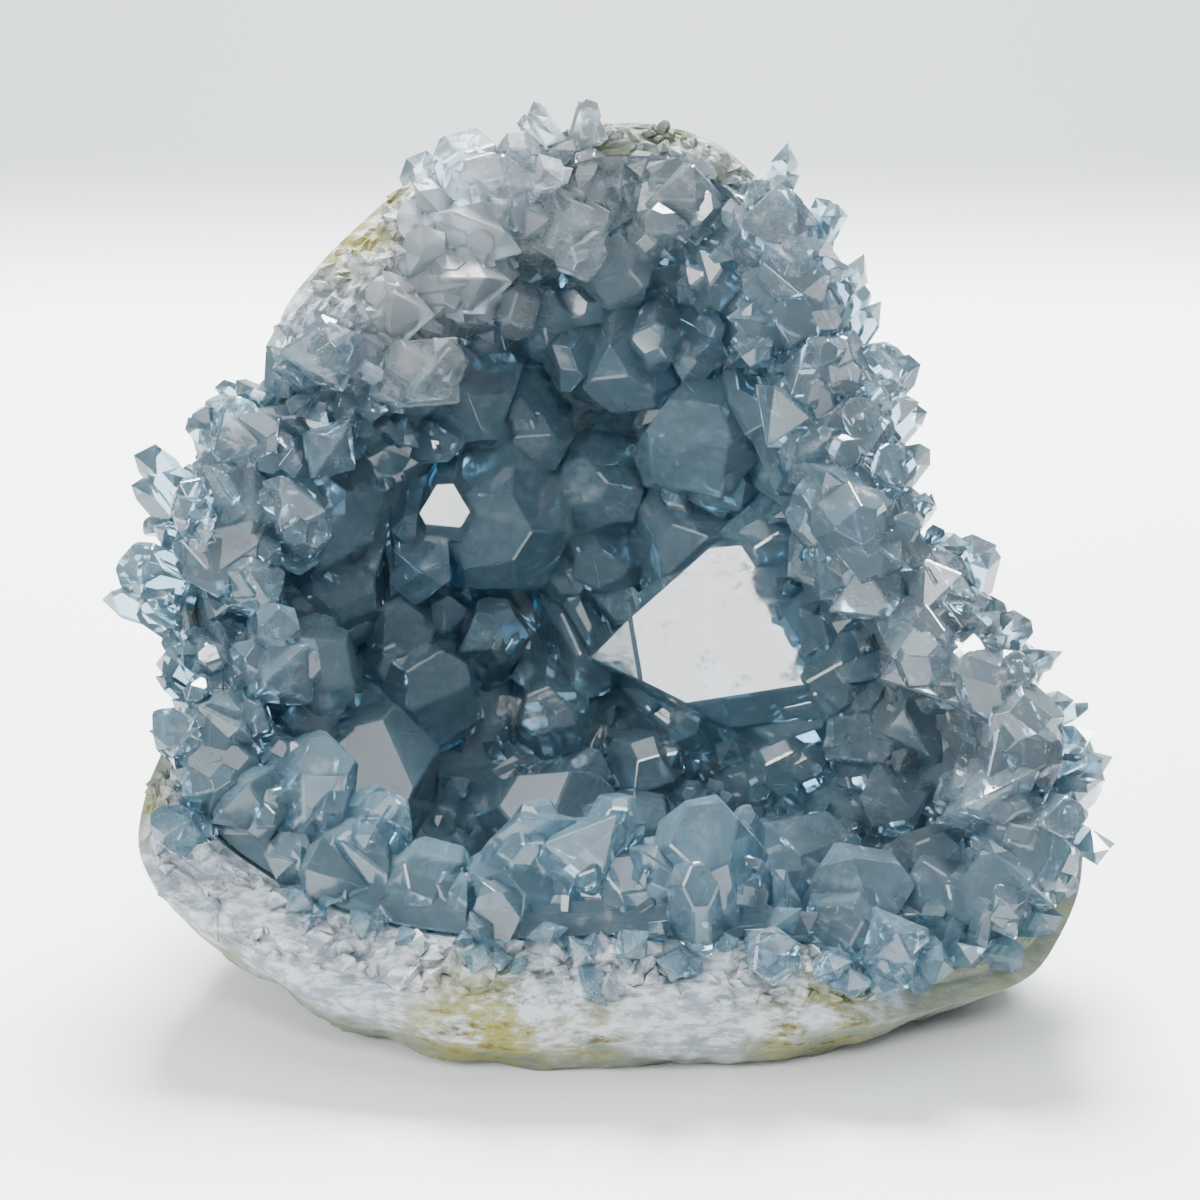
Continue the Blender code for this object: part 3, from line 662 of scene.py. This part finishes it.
def swung(place, size):
    """The bright plate's place, swung so that its end faces the viewer, wider and further right."""
    middle = place @ Vector((0, 0, PLACE_SHARE * size[2]))
    turn = Matrix.Rotation(PLATE_SWING, 4, "X")
    wide = Matrix.Diagonal((PLATE_WIDENING, 1, 1, 1))
    aside = Matrix.Translation(middle + RIGHT * PLATE_SHIFT)
    return aside @ turn @ Matrix.Translation(-middle) @ place @ wide


def stands_clear(root, width, taken, share):
    """Whether a root keeps this share of the mean width to each large crystal's root."""
    return all((root - other).length > share * (width + wide) / 2 for other, wide in taken)


def round_rim(i, count, loose, chance):
    """Where the i-th of a row round the rim stands, off by up to this share of their distance."""
    return 2 * math.pi * (i + chance.uniform(-loose, loose)) / count


def outwards(angle):
    """The direction in the rim plane from its middle."""
    return RIGHT * math.cos(angle) + UP_RIM * math.sin(angle)


def filling_crystals(taken, chance):
    """The crystals between the large ones, on a spiral that covers the wall evenly."""
    for i in range(FILL_COUNT):
        share = math.sqrt((i + 0.5) / FILL_COUNT)
        angle = i * GOLDEN_TURN
        right, up, out = bowl_point(angle, FILL_REACH * share, INNER_DEPTH, wrapped(RIM_EDGE, angle))
        root = placed((right, up, out))
        width = chance.uniform(*FILL_WIDTH) * (1 - FILL_SMALLER_AT_RIM * share**3)
        size = (width, width * chance.uniform(0.65, 0.95), width * chance.uniform(1.1, 1.6))
        axis = tilted(inner_normal(right, up), chance, FILL_SPREAD)
        turn = chance.uniform(0, math.pi)
        if stands_clear(root, width, taken, CLEAR_SHARE):
            yield standing(root, axis, turn), size


def rim_crystals(taken, chance):
    """Two uneven rows of crystals along the rim, in the thick end of the bed."""
    for count, inset, deep in RIM_CRYSTAL_ROWS:
        for i in range(count):
            angle = round_rim(i, count, RIM_LOOSE, chance)
            width = chance.uniform(*RIM_CRYSTAL_WIDTH)
            inwards = wrapped(RIM_EDGE, angle) + inset + width * chance.uniform(0.3, 0.5)
            right, up, out = bowl_point(angle, 1, INNER_DEPTH, inwards)
            root = placed((right, up, out - deep))
            size = (width, width * chance.uniform(0.7, 1), chance.uniform(*RIM_CRYSTAL_LENGTH))
            towards = Vector((-math.cos(angle), -math.sin(angle)))
            axis = OUT + RIM_LEAN_IN * (RIGHT * towards.x + UP_RIM * towards.y)
            axis = tilted(axis, chance, RIM_SPREAD)
            if stands_clear(root, width, taken, RIM_CLEAR_SHARE):
                yield standing(root, axis, chance.uniform(0, math.pi)), size


def side_growths(place, size, flat, chance):
    """The lesser crystals that grew on a large one, nearly in line with it."""
    width, thick, length = size
    for _ in range(chance.randint(*SIDE_GROWTHS)):
        share = chance.uniform(*SIDE_GROWTH_SIZE)
        aside = Vector((chance.uniform(-0.5, 0.5) * width, chance.uniform(-0.5, 0.5) * thick, 0))
        aside *= 1 - 0.5 * share
        turn = Matrix()
        for spread, axis in SIDE_GROWTH_TURNS:
            turn @= Matrix.Rotation(math.radians(chance.gauss(0, spread)), 4, axis)
        lesser = (width * share, thick * share, length * chance.uniform(*SIDE_GROWTH_LENGTH))
        yield place @ Matrix.Translation(aside) @ turn, lesser, min(1, flat * chance.uniform(0.5, 1.3))


def edge_crystals(taken, chance):
    """Crystals that stand on the broken edge and hide it, up to the outline."""
    for i in range(EDGE_CRYSTAL_COUNT):
        angle = round_rim(i, EDGE_CRYSTAL_COUNT, EDGE_LOOSE, chance)
        width = chance.uniform(*EDGE_CRYSTAL_WIDTH)
        inset = width * 0.5 + chance.uniform(*EDGE_INSET_MM) * MM
        length = chance.uniform(*EDGE_CRYSTAL_LENGTH)
        axis = tilted(OUT + outwards(angle) * chance.uniform(*EDGE_LEAN), chance, EDGE_SPREAD)
        right, up, out = bowl_point(angle, 1, INNER_DEPTH, inset)
        root = placed((right, up, out - EDGE_ROOT_DEEP))
        turn = chance.uniform(0, math.pi)
        size = (width, width * chance.uniform(0.6, 0.95), length)
        flat = chance.uniform(*EDGE_FLAT)
        if chance.random() < covered(angle) and stands_clear(root, width, taken, EDGE_CLEAR_SHARE):
            yield standing(root, axis, turn), size, flat


def seam_crystals(chance):
    """Small crystals over the seam between the crust and the stone."""
    for i in range(SEAM_CRYSTAL_COUNT):
        angle = round_rim(i, SEAM_CRYSTAL_COUNT, EDGE_LOOSE, chance)
        width = chance.uniform(*SEAM_CRYSTAL_WIDTH)
        inset = wrapped(RIM_EDGE, angle) + chance.uniform(-0.5, 0.3) * width
        right, up, out = bowl_point(angle, 1, INNER_DEPTH, inset)
        axis = tilted(OUT + outwards(angle) * chance.uniform(*SEAM_LEAN), chance, SEAM_SPREAD)
        size = (width, width * chance.uniform(0.6, 1), width * chance.uniform(0.9, 1.4) + 3 * MM)
        yield standing(placed((right, up, out - SEAM_ROOT_DEEP)), axis, chance.uniform(0, math.pi)), size


def druse(count, chance):
    """The smallest crystals, all over the bed."""
    for i in range(count):
        share = math.sqrt((i + 0.5) / count)
        angle = i * GOLDEN_TURN
        right, up, out = bowl_point(angle, share, INNER_DEPTH, wrapped(RIM_EDGE, angle))
        width = chance.uniform(*DRUSE_WIDTH_MM) * MM
        size = (width, width * chance.uniform(0.6, 1), chance.uniform(*DRUSE_LENGTH_MM) * MM)
        axis = tilted(inner_normal(right * 0.97, up * 0.97), chance, DRUSE_SPREAD)
        yield standing(placed((right, up, out)), axis, chance.uniform(0, math.pi)), size


def new_object(name, shape_maker, collection):
    """Adds a named object whose mesh is made by shape_maker, which fills an empty bmesh."""
    mesh = bpy.data.meshes.new(name)
    shape = bmesh.new()
    shape_maker(shape)
    bmesh.ops.recalc_face_normals(shape, faces=shape.faces)
    shape.to_mesh(mesh)
    shape.free()
    made = bpy.data.objects.new(name, mesh)
    collection.objects.link(made)
    return made


def grown_together(body, group, cutter=None):
    """Joins a group of solids with a body into one mesh, and trims it by a cutter."""
    joined = body.modifiers.new("grown together", "BOOLEAN")
    joined.operation = "UNION"
    joined.operand_type = "COLLECTION"
    joined.collection = group
    joined.solver = "MANIFOLD"
    if cutter:
        trimmed = body.modifiers.new("clear of the stone", "BOOLEAN")
        trimmed.operation = "DIFFERENCE"
        trimmed.object = cutter
        trimmed.solver = "MANIFOLD"
    graph = bpy.context.evaluated_depsgraph_get()
    mesh = bpy.data.meshes.new_from_object(body.evaluated_get(graph))
    body.modifiers.clear()
    body.data = mesh
    for helper in list(group.objects) + ([cutter] if cutter else []):
        bpy.data.objects.remove(helper)
    bpy.data.collections.remove(group)
    keep_largest_piece(mesh)


def keep_largest_piece(mesh):
    """Removes splinters that a cut has left hanging on by a corner or standing alone."""
    shape = bmesh.new()
    shape.from_mesh(mesh)
    pieces, seen = [], set()
    for start in shape.faces:
        if start in seen:
            continue
        piece, waiting = [], [start]
        seen.add(start)
        while waiting:
            face = waiting.pop()
            piece.append(face)
            for other in (other for edge in face.edges for other in edge.link_faces):
                if other not in seen:
                    seen.add(other)
                    waiting.append(other)
        pieces.append(piece)
    pieces.sort(key=len)
    for piece in pieces[:-1]:
        bmesh.ops.delete(shape, geom=piece, context="FACES")
    shape.to_mesh(mesh)
    shape.free()


def crystal_shapes(druse_count):
    """Every crystal as (place, shape maker). The first draws are the same as the solids' own."""
    chance = random.Random(FILL_SEED)
    detail = random.Random(DETAIL_SEED)
    taken, large, small = [], [], []
    for place, size, flat, root in large_crystals():
        large.append((place, size, flat))
        taken.append((root, size[0]))
    large[0] = (swung(large[0][0], large[0][1]), *large[0][1:])
    small += filling_crystals(taken, chance)
    small += rim_crystals(taken, chance)

    def blunted(fill, *how):
        def make(shape):
            fill(shape, *how)
            blunt_edges(shape, EDGE_BEVEL)

        return make

    def growths(place, size, flat, shorter=1):
        for lesser_place, lesser, lesser_flat in side_growths(place, size, flat, detail):
            lesser = (*lesser[:2], shorter * lesser[2])
            yield lesser_place, blunted(fill_crystal, lesser, lesser_flat, detail)

    for place, size, flat in large:
        yield place, blunted(fill_crystal, size, flat, chance)
        yield from growths(place, size, flat)
    for place, size in small:
        yield place, blunted(fill_small_crystal, size, chance)
        yield from growths(place, size, SMALL_GROWTH_FLAT)
    for place, size, flat in edge_crystals(taken, detail):
        yield place, blunted(fill_crystal, size, flat, detail)
        yield from growths(place, size, flat, EDGE_GROWTH_SHORTER)
    for place, size in seam_crystals(detail):
        yield place, lambda shape, s=size: fill_small_crystal(shape, s, detail, 0)
    for place, size in druse(druse_count, detail):
        yield place, lambda shape, s=size: fill_small_crystal(shape, s, detail)


class Wire:
    """A shader socket that takes part in Python expressions on values."""

    def __init__(self, nodes, socket):
        self.nodes = nodes
        self.socket = socket

    def math(self, operation, *values, clamp=False):
        settings = {"operation": operation, "use_clamp": clamp}
        return self.nodes.node("ShaderNodeMath", settings, dict(enumerate(values)))

    def __add__(self, other):
        return self.math("ADD", self, other)

    __radd__ = __add__

    def __sub__(self, other):
        return self.math("SUBTRACT", self, other)

    def __rsub__(self, other):
        return self.math("SUBTRACT", other, self)

    def __mul__(self, other):
        return self.math("MULTIPLY", self, other)

    __rmul__ = __mul__

    def __truediv__(self, other):
        return self.math("DIVIDE", self, other)

    def __rtruediv__(self, other):
        return self.math("DIVIDE", other, self)

    def most(self, other):
        return self.math("MAXIMUM", self, other)

    def between(self, low, high):
        """0 at low and 1 at high, held to that range on both sides."""
        settings = {"interpolation_type": "SMOOTHSTEP"}
        return self.nodes.node("ShaderNodeMapRange", settings, {0: self, 1: low, 2: high, 3: 0.0, 4: 1.0})


class Nodes:
    """A material whose nodes come from Python expressions."""

    def __init__(self, name):
        self.material = bpy.data.materials.new(name)
        self.material.use_nodes = True
        self.tree = self.material.node_tree
        self.shader = self.tree.nodes["Principled BSDF"]
        self.place = self.node("ShaderNodeTexCoord", output="Object")

    def node(self, kind, settings=None, inputs=None, output=0):
        made = self.tree.nodes.new(kind)
        for key, value in (settings or {}).items():
            setattr(made, key, value)
        for key, value in (inputs or {}).items():
            self.feed(made.inputs[key], value)
        return Wire(self, made.outputs[output])

    def feed(self, socket, value):
        if isinstance(value, Wire):
            self.tree.links.new(value.socket, socket)
        else:
            socket.default_value = value

    def finish(self, **values):
        """Feeds the shader's own sockets, named with _ for a space."""
        for name, value in values.items():
            self.feed(self.shader.inputs[name.replace("_", " ")], value)

    def colour(self, value):
        return value if isinstance(value, Wire) else (*value, 1)

    def mix(self, share, first, second):
        """first where share is 0, second where it is 1."""
        inputs = {0: share, 6: self.colour(first), 7: self.colour(second)}
        return self.node("ShaderNodeMix", {"data_type": "RGBA"}, inputs, output=2)

    def noise(self, size, detail=3.0, rough=0.55, stretch=None):
        """Noise with features of this size, from 0 to 1."""
        where = self.place
        if stretch:
            inputs = {0: self.place, 1: stretch}
            where = self.node("ShaderNodeVectorMath", {"operation": "MULTIPLY"}, inputs)
        inputs = {"Vector": where, "Scale": 1 / size, "Detail": detail, "Roughness": rough}
        return self.node("ShaderNodeTexNoise", None, inputs)

    def along(self, direction, start):
        """How far a point lies past start along a direction."""
        away = self.node("ShaderNodeVectorMath", {"operation": "SUBTRACT"}, {0: self.place, 1: start})
        inputs = {0: away, 1: direction}
        return self.node("ShaderNodeVectorMath", {"operation": "DOT_PRODUCT"}, inputs, output="Value")

    def near(self, middle, inner, outer):
        """1 within the inner distance of a point, 0 past the outer one."""
        inputs = {0: self.place, 1: middle}
        gap = self.node("ShaderNodeVectorMath", {"operation": "DISTANCE"}, inputs, output="Value")
        return 1 - gap.between(inner, outer)

    def bump(self, height, strength, distance):
        inputs = {"Height": height, "Strength": strength, "Distance": distance}
        return self.node("ShaderNodeBump", None, inputs)


# Where the crystals are paler, at the top, the upper left and the right: at the top both frost and painted
# light, at the upper left frost, on the right painted light.
# The middle of each place, and how far from it they are fully pale and not pale at all, in millimetres.
FROST_AND_PAINTED_LIGHT_PLACES_MM = (((-4, 44, 92), 8, 30), ((-23, 30, 77), 6, 20), ((38, -4, 33), 8, 30))


def celestite_finish(settings):
    """Clear blue-grey crystal, paler and frosted at the upper left and the top, with painted light that
    makes it paler higher up near the rim, at the top and on the right.
    """
    nodes = Nodes("clear_celestite")
    depth = nodes.along(OUT, RIM_MIDDLE)
    # high makes crystals near the rim paler the higher they stand, which is painted light from above.
    high = nodes.along(Vector((0, 0, 1)), Vector((0, 0, 20 * MM))).between(0, 60 * MM)
    top, left, right = (
        nodes.near(Vector(middle) * MM, inner * MM, outer * MM) for middle, inner, outer in FROST_AND_PAINTED_LIGHT_PLACES_MM
    )
    clouds = nodes.noise(9 * MM, 2.0, 0.6)
    wisps = nodes.noise(3.5 * MM, 3.0, 0.7, (1.0, 0.5, 1.6))
    patches = clouds.between(0.42, 0.66)
    # Painted light: paler the higher and nearer the rim a crystal stands, and round the top and the right.
    # The upper left's paleness is its frost, and the patches are the crystal's own tone.
    paleness_and_painted_light = depth.between(-20 * MM, 4 * MM) * (high * 0.4 + 0.05)
    paleness_and_painted_light = paleness_and_painted_light + 0.5 * top + 0.6 * left + 0.7 * right + 0.15 * patches
    blue = nodes.mix(wisps.between(0.3, 0.7), settings.deep_blue, settings.mid_blue)
    colour = nodes.mix(paleness_and_painted_light, blue, settings.pale_and_painted_light_blue)
    veils = wisps.between(0.56, 0.7)
    cracks = 1 - wisps.math("ABSOLUTE", (wisps - 0.47) * 60, clamp=True)
    massive = (patches * 0.4 + 0.6) * (left + 0.5 * top)
    frost = veils * (paleness_and_painted_light * 0.8 + 0.12) + cracks * patches * 0.4 + massive
    colour = nodes.mix(frost, colour, settings.frost)
    nodes.finish(Base_Color=colour, Roughness=frost * 0.45 + wisps.between(0.4, 0.8) * 0.15 + 0.03)
    nodes.finish(IOR=settings.refraction, Transmission_Weight=settings.clearness)
    inputs = {"Color": (*settings.absorbed, 1), "Density": settings.absorption}
    absorb = nodes.node("ShaderNodeVolumeAbsorption", None, inputs)
    output = nodes.tree.nodes["Material Output"]
    nodes.tree.links.new(absorb.socket, output.inputs["Volume"])
    return nodes.material


# Each stain's place and radius, in millimetres.
STAINS_MM = (
    (-16, -37, 6, 15),
    (-4, -38, 6, 9),
    (24, -36, 6, 13),
    (47, -30, 14, 7),
    (-50, -30, 12, 8),
    (-58, -16, 28, 7),
    (-34, 33, 82, 9),
    (-30, 40, 84, 7),
)


def stone_finish(settings):
    """White to lilac broken stone, and a greenish grey skin with yellow and brown stains."""
    nodes = Nodes("weathered_stone")
    lumps = nodes.noise(6 * MM, 2.0, 0.6)
    fibres = nodes.noise(2.2 * MM, 4.0, 0.7, (0.6, 1.4, 1.4))
    depth = nodes.along(OUT, RIM_MIDDLE)
    broken = (depth + (lumps - 0.5) * 9 * MM).between(-5.5 * MM, -2 * MM)
    band = nodes.mix(fibres.between(0.38, 0.6), settings.band_white, settings.band_lilac)
    skin = nodes.mix(fibres.between(0.35, 0.65), settings.skin_grey, settings.skin_green)
    skin = nodes.mix(lumps.between(0.5, 0.72) * 0.5, skin, settings.band_white)
    colour = nodes.mix(broken, skin, band)
    spots = 0.0
    for x, y, z, radius in STAINS_MM:
        spots = nodes.near(Vector((x, y, z)) * MM, 0.2 * radius * MM, radius * MM).most(spots)
    mottled = lumps * 0.5 + fibres * 0.5
    colour = nodes.mix(spots * mottled.between(0.4, 0.54), colour, settings.stain_yellow)
    colour = nodes.mix(spots * fibres.between(0.55, 0.66), colour, settings.stain_brown)
    colour = nodes.mix(fibres.between(0.7, 0.76), colour, settings.speck)
    nodes.finish(Base_Color=colour, Roughness=0.85 - broken * 0.3 * lumps)
    nodes.finish(Normal=nodes.bump(fibres, 0.6, 0.6 * MM))
    return nodes.material


def cloth_finish(settings):
    """The plain pale floor and backdrop, with a faint grain."""
    nodes = Nodes("pale_stage")
    back = nodes.along(Vector((0, 1, 0)), Vector((0, 0, 0))).between(230 * MM, 310 * MM)
    colour = nodes.mix(back, settings.floor, settings.backdrop)
    weave = nodes.noise(1.2 * MM, 2.0)
    nodes.finish(Base_Color=colour, Roughness=0.9 - 0.1 * weave)
    return nodes.material


def tint(name, words, default):
    """A colour setting."""
    return FloatVectorProperty(name=name, description=words, subtype="COLOR", min=0, max=1, default=default)


def share(name, words, default):
    """A setting from 0 to 1."""
    return FloatProperty(name=name, description=words, subtype="FACTOR", min=0, max=1, default=default)


def power(name, words, default):
    """A light's setting, in watts."""
    return FloatProperty(name=name, description=words, unit="POWER", min=0, default=default)


class CelestiteCrystalSettings(bpy.types.PropertyGroup):
    """The crystals' number, colours and clearness."""

    druse_count: IntProperty(name="Smallest crystals", description="How many", default=900, min=0)
    deep_blue: tint("Deep blue", "Darkest crystals in the hollow", (0.31, 0.52, 0.64))
    mid_blue: tint("Blue", "Most of the crystals", (0.4, 0.6, 0.71))
    # Pale blue is laid on partly as painted light: higher up near the rim, at the top and on the right.
    pale_and_painted_light_blue: tint("Pale blue", "Crystals at the rim and the top", (0.48, 0.58, 0.64))
    frost: tint("Frost", "Veils and chipped places", (0.88, 0.92, 0.95))
    absorbed: tint("Tint in depth", "What thick crystal lets through", (0.42, 0.66, 0.8))
    absorption: FloatProperty(name="Absorption", description="Tint's density per metre", default=50, min=0)
    clearness: share("Clearness", "Share of light let through", 0.85)
    refraction: FloatProperty(name="Refraction", description="Refractive index", default=1.62, min=1, max=3)


class CelestiteStoneSettings(bpy.types.PropertyGroup):
    """The stone's colours."""

    grain_count: IntProperty(name="Grains", description="Grains on the broken edge", default=700, min=0)
    band_white: tint("White band", "Broken stone", (0.46, 0.49, 0.52))
    band_lilac: tint("Lilac band", "Broken stone in cloudy places", (0.18, 0.22, 0.25))
    skin_grey: tint("Grey skin", "Weathered outside", (0.125, 0.145, 0.125))
    skin_green: tint("Green skin", "Weathered outside along its fibres", (0.2, 0.22, 0.15))
    stain_yellow: tint("Yellow stain", "Stained places", (0.2, 0.19, 0.035))
    stain_brown: tint("Brown stain", "Pits in the stained places", (0.07, 0.045, 0.008))
    speck: tint("Dark speck", "Scattered specks", (0.1, 0.12, 0.08))


class CelestiteStageSettings(bpy.types.PropertyGroup):
    """The floor and the light."""

    floor: tint("Floor", "Colour of the floor", (0.91, 0.935, 0.945))
    backdrop: tint("Backdrop", "Colour behind the floor", (0.26, 0.285, 0.29))
    key_power: power("Key light", "Light from above and behind", 40)
    front_power: power("Front light", "Light above the camera", 3.4)
    top_power: power("Top light", "Light from overhead", 3)
    fill_power: power("Fill light", "Light from the front left", 6)
    sky: FloatProperty(name="Sky", description="Strength of the light from all round", default=0.33, min=0)


class OBJECT_OT_celestite_stone(bpy.types.Operator):
    """Adds the stone with its skin and broken edge"""

    bl_idname = "object.celestite_stone"
    bl_label = "Stone"

    def execute(self, context):
        settings = context.scene.celestite_stone
        stone = new_object("weathered_stone", fill_stone, context.scene.collection)
        stone.data.materials.append(stone_finish(settings))
        chance = random.Random(DETAIL_SEED)
        group = bpy.data.collections.new("edge grains")
        for i in range(settings.grain_count):
            angle = 2 * math.pi * (i + chance.random()) / settings.grain_count
            width = chance.uniform(0.2, 0.5) * min(wrapped(RIM_EDGE, angle), 7 * MM)
            size = (width, width * chance.uniform(0.6, 1), width * chance.uniform(0.6, 1))
            axis = tilted(OUT, chance, 0.6)
            root = edge_point(angle, chance.uniform(0.1, 0.95), -0.45 * width)
            place = standing(root, axis, chance.uniform(0, math.pi))
            grain = new_object(
                f"grain_{i}", lambda shape, s=size: fill_small_crystal(shape, s, chance, -s[0] / 2), group
            )
            grain.data.materials.append(stone.data.materials[0])
            grain.matrix_world = place
        grown_together(stone, group)
        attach(stone, "root")
        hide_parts("stone_rind")
        return {"FINISHED"}


class OBJECT_OT_celestite_crystals(bpy.types.Operator):
    """Adds every crystal of the hollow, grown together"""

    bl_idname = "object.celestite_crystals"
    bl_label = "Crystals"

    def execute(self, context):
        settings = context.scene.celestite_crystals
        crust = new_object("celestite_crystals", fill_crust_bed, context.scene.collection)
        crust.data.materials.append(celestite_finish(settings))
        group = bpy.data.collections.new("single crystals")
        for number, (place, shape_maker) in enumerate(crystal_shapes(settings.druse_count)):
            crystal = new_object(f"crystal_{number}", shape_maker, group)
            crystal.data.materials.append(crust.data.materials[0])
            crystal.matrix_world = place
        cutter = new_object("room_of_stone", fill_room_of_stone, context.scene.collection)
        grown_together(crust, group, cutter)
        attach(crust, "root")
        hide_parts("crystal_crust")
        return {"FINISHED"}


def aimed(obj, target):
    """Turns a light or a camera at a point."""
    obj.rotation_mode = "QUATERNION"
    obj.rotation_quaternion = (target - obj.location).to_track_quat("-Z", "Y")


def soft_light(name, place, size, power, target):
    light = bpy.data.lights.new(name, "AREA")
    light.size = size
    light.energy = power
    made = bpy.data.objects.new(name, light)
    bpy.context.scene.collection.objects.link(made)
    made.location = place
    aimed(made, target)


def fill_backdrop(shape):
    """A floor that curves up behind into a backdrop."""
    profile = [(FLOOR_FRONT, 0.0), (BEND_START, 0.0)]
    for i in range(1, BEND_STEPS + 1):
        turn = BEND_TURN * i / BEND_STEPS
        profile.append((BEND_START + BEND_RADIUS * math.sin(turn), BEND_RADIUS * (1 - math.cos(turn))))
    profile.append(BACKDROP_END)
    wide = STAGE_HALF_WIDTH
    for near, far in zip(profile, profile[1:]):
        corners = [(-wide, *near), (wide, *near), (wide, *far), (-wide, *far)]
        shape.faces.new([shape.verts.new(corner) for corner in corners])
    bmesh.ops.remove_doubles(shape, verts=shape.verts, dist=0.1 * MM)


class SCENE_OT_celestite_stage(bpy.types.Operator):
    """Adds the floor, the lights and the camera"""

    bl_idname = "scene.celestite_stage"
    bl_label = "Stage"

    def execute(self, context):
        scene = context.scene
        settings = scene.celestite_stage
        floor = new_object("floor", fill_backdrop, scene.collection)
        floor.data.materials.append(cloth_finish(settings))
        floor.data.shade_smooth()
        world = bpy.data.worlds.new("soft_sky")
        world.use_nodes = True
        world.node_tree.nodes["Background"].inputs["Color"].default_value = SKY_COLOUR
        world.node_tree.nodes["Background"].inputs["Strength"].default_value = settings.sky
        scene.world = world
        scene.cycles.max_bounces = MOST_BOUNCES
        scene.cycles.transmission_bounces = MOST_BOUNCES
        scene.cycles.diffuse_bounces = 2
        scene.cycles.glossy_bounces = 2
        middle = RIM_MIDDLE
        for name, place, size in LIGHTS:
            strength = getattr(settings, f"{name}_power")
            soft_light(name, middle + Vector(place), size, strength, middle)
        camera = bpy.data.objects.new("camera", bpy.data.cameras.new("camera"))
        camera.data.lens = LENS_MM
        camera.data.sensor_width = SENSOR_MM
        scene.collection.objects.link(camera)
        half = PICTURE_SIDE / 2
        right = (half - RIM_MIDDLE_PIXEL[0]) / PIXELS_PER_MM * MM
        up = (RIM_MIDDLE_PIXEL[1] - half) / PIXELS_PER_MM * MM
        target = middle + RIGHT * right + SEEN_UP * up
        width = PICTURE_SIDE / PIXELS_PER_MM * MM
        camera.location = target - SEEN_DEEP * (width * LENS_MM / SENSOR_MM)
        aimed(camera, target)
        scene.camera = camera
        return {"FINISHED"}


class VIEW3D_PT_celestite(bpy.types.Panel):
    """Lists the steps that build the piece"""

    bl_label = "Celestite"
    bl_category = "Celestite"
    bl_space_type = "VIEW_3D"
    bl_region_type = "UI"

    def draw(self, context):
        for operator in (SCENE_OT_celestite_stage, OBJECT_OT_celestite_stone, OBJECT_OT_celestite_crystals):
            self.layout.operator(operator.bl_idname)


SETTINGS = {
    "celestite_crystals": CelestiteCrystalSettings,
    "celestite_stone": CelestiteStoneSettings,
    "celestite_stage": CelestiteStageSettings,
}
CLASSES = (
    *SETTINGS.values(),
    SCENE_OT_celestite_stage,
    OBJECT_OT_celestite_stone,
    OBJECT_OT_celestite_crystals,
    VIEW3D_PT_celestite,
)


def register():
    for cls in CLASSES:
        bpy.utils.register_class(cls)
    for name, group in SETTINGS.items():
        setattr(bpy.types.Scene, name, PointerProperty(type=group))


def unregister():
    for name in SETTINGS:
        delattr(bpy.types.Scene, name)
    for cls in reversed(CLASSES):
        bpy.utils.unregister_class(cls)


def main():
    register()
    bpy.ops.scene.celestite_stage()
    bpy.ops.object.celestite_stone()
    bpy.ops.object.celestite_crystals()


if __name__ == "__main__":
    main()
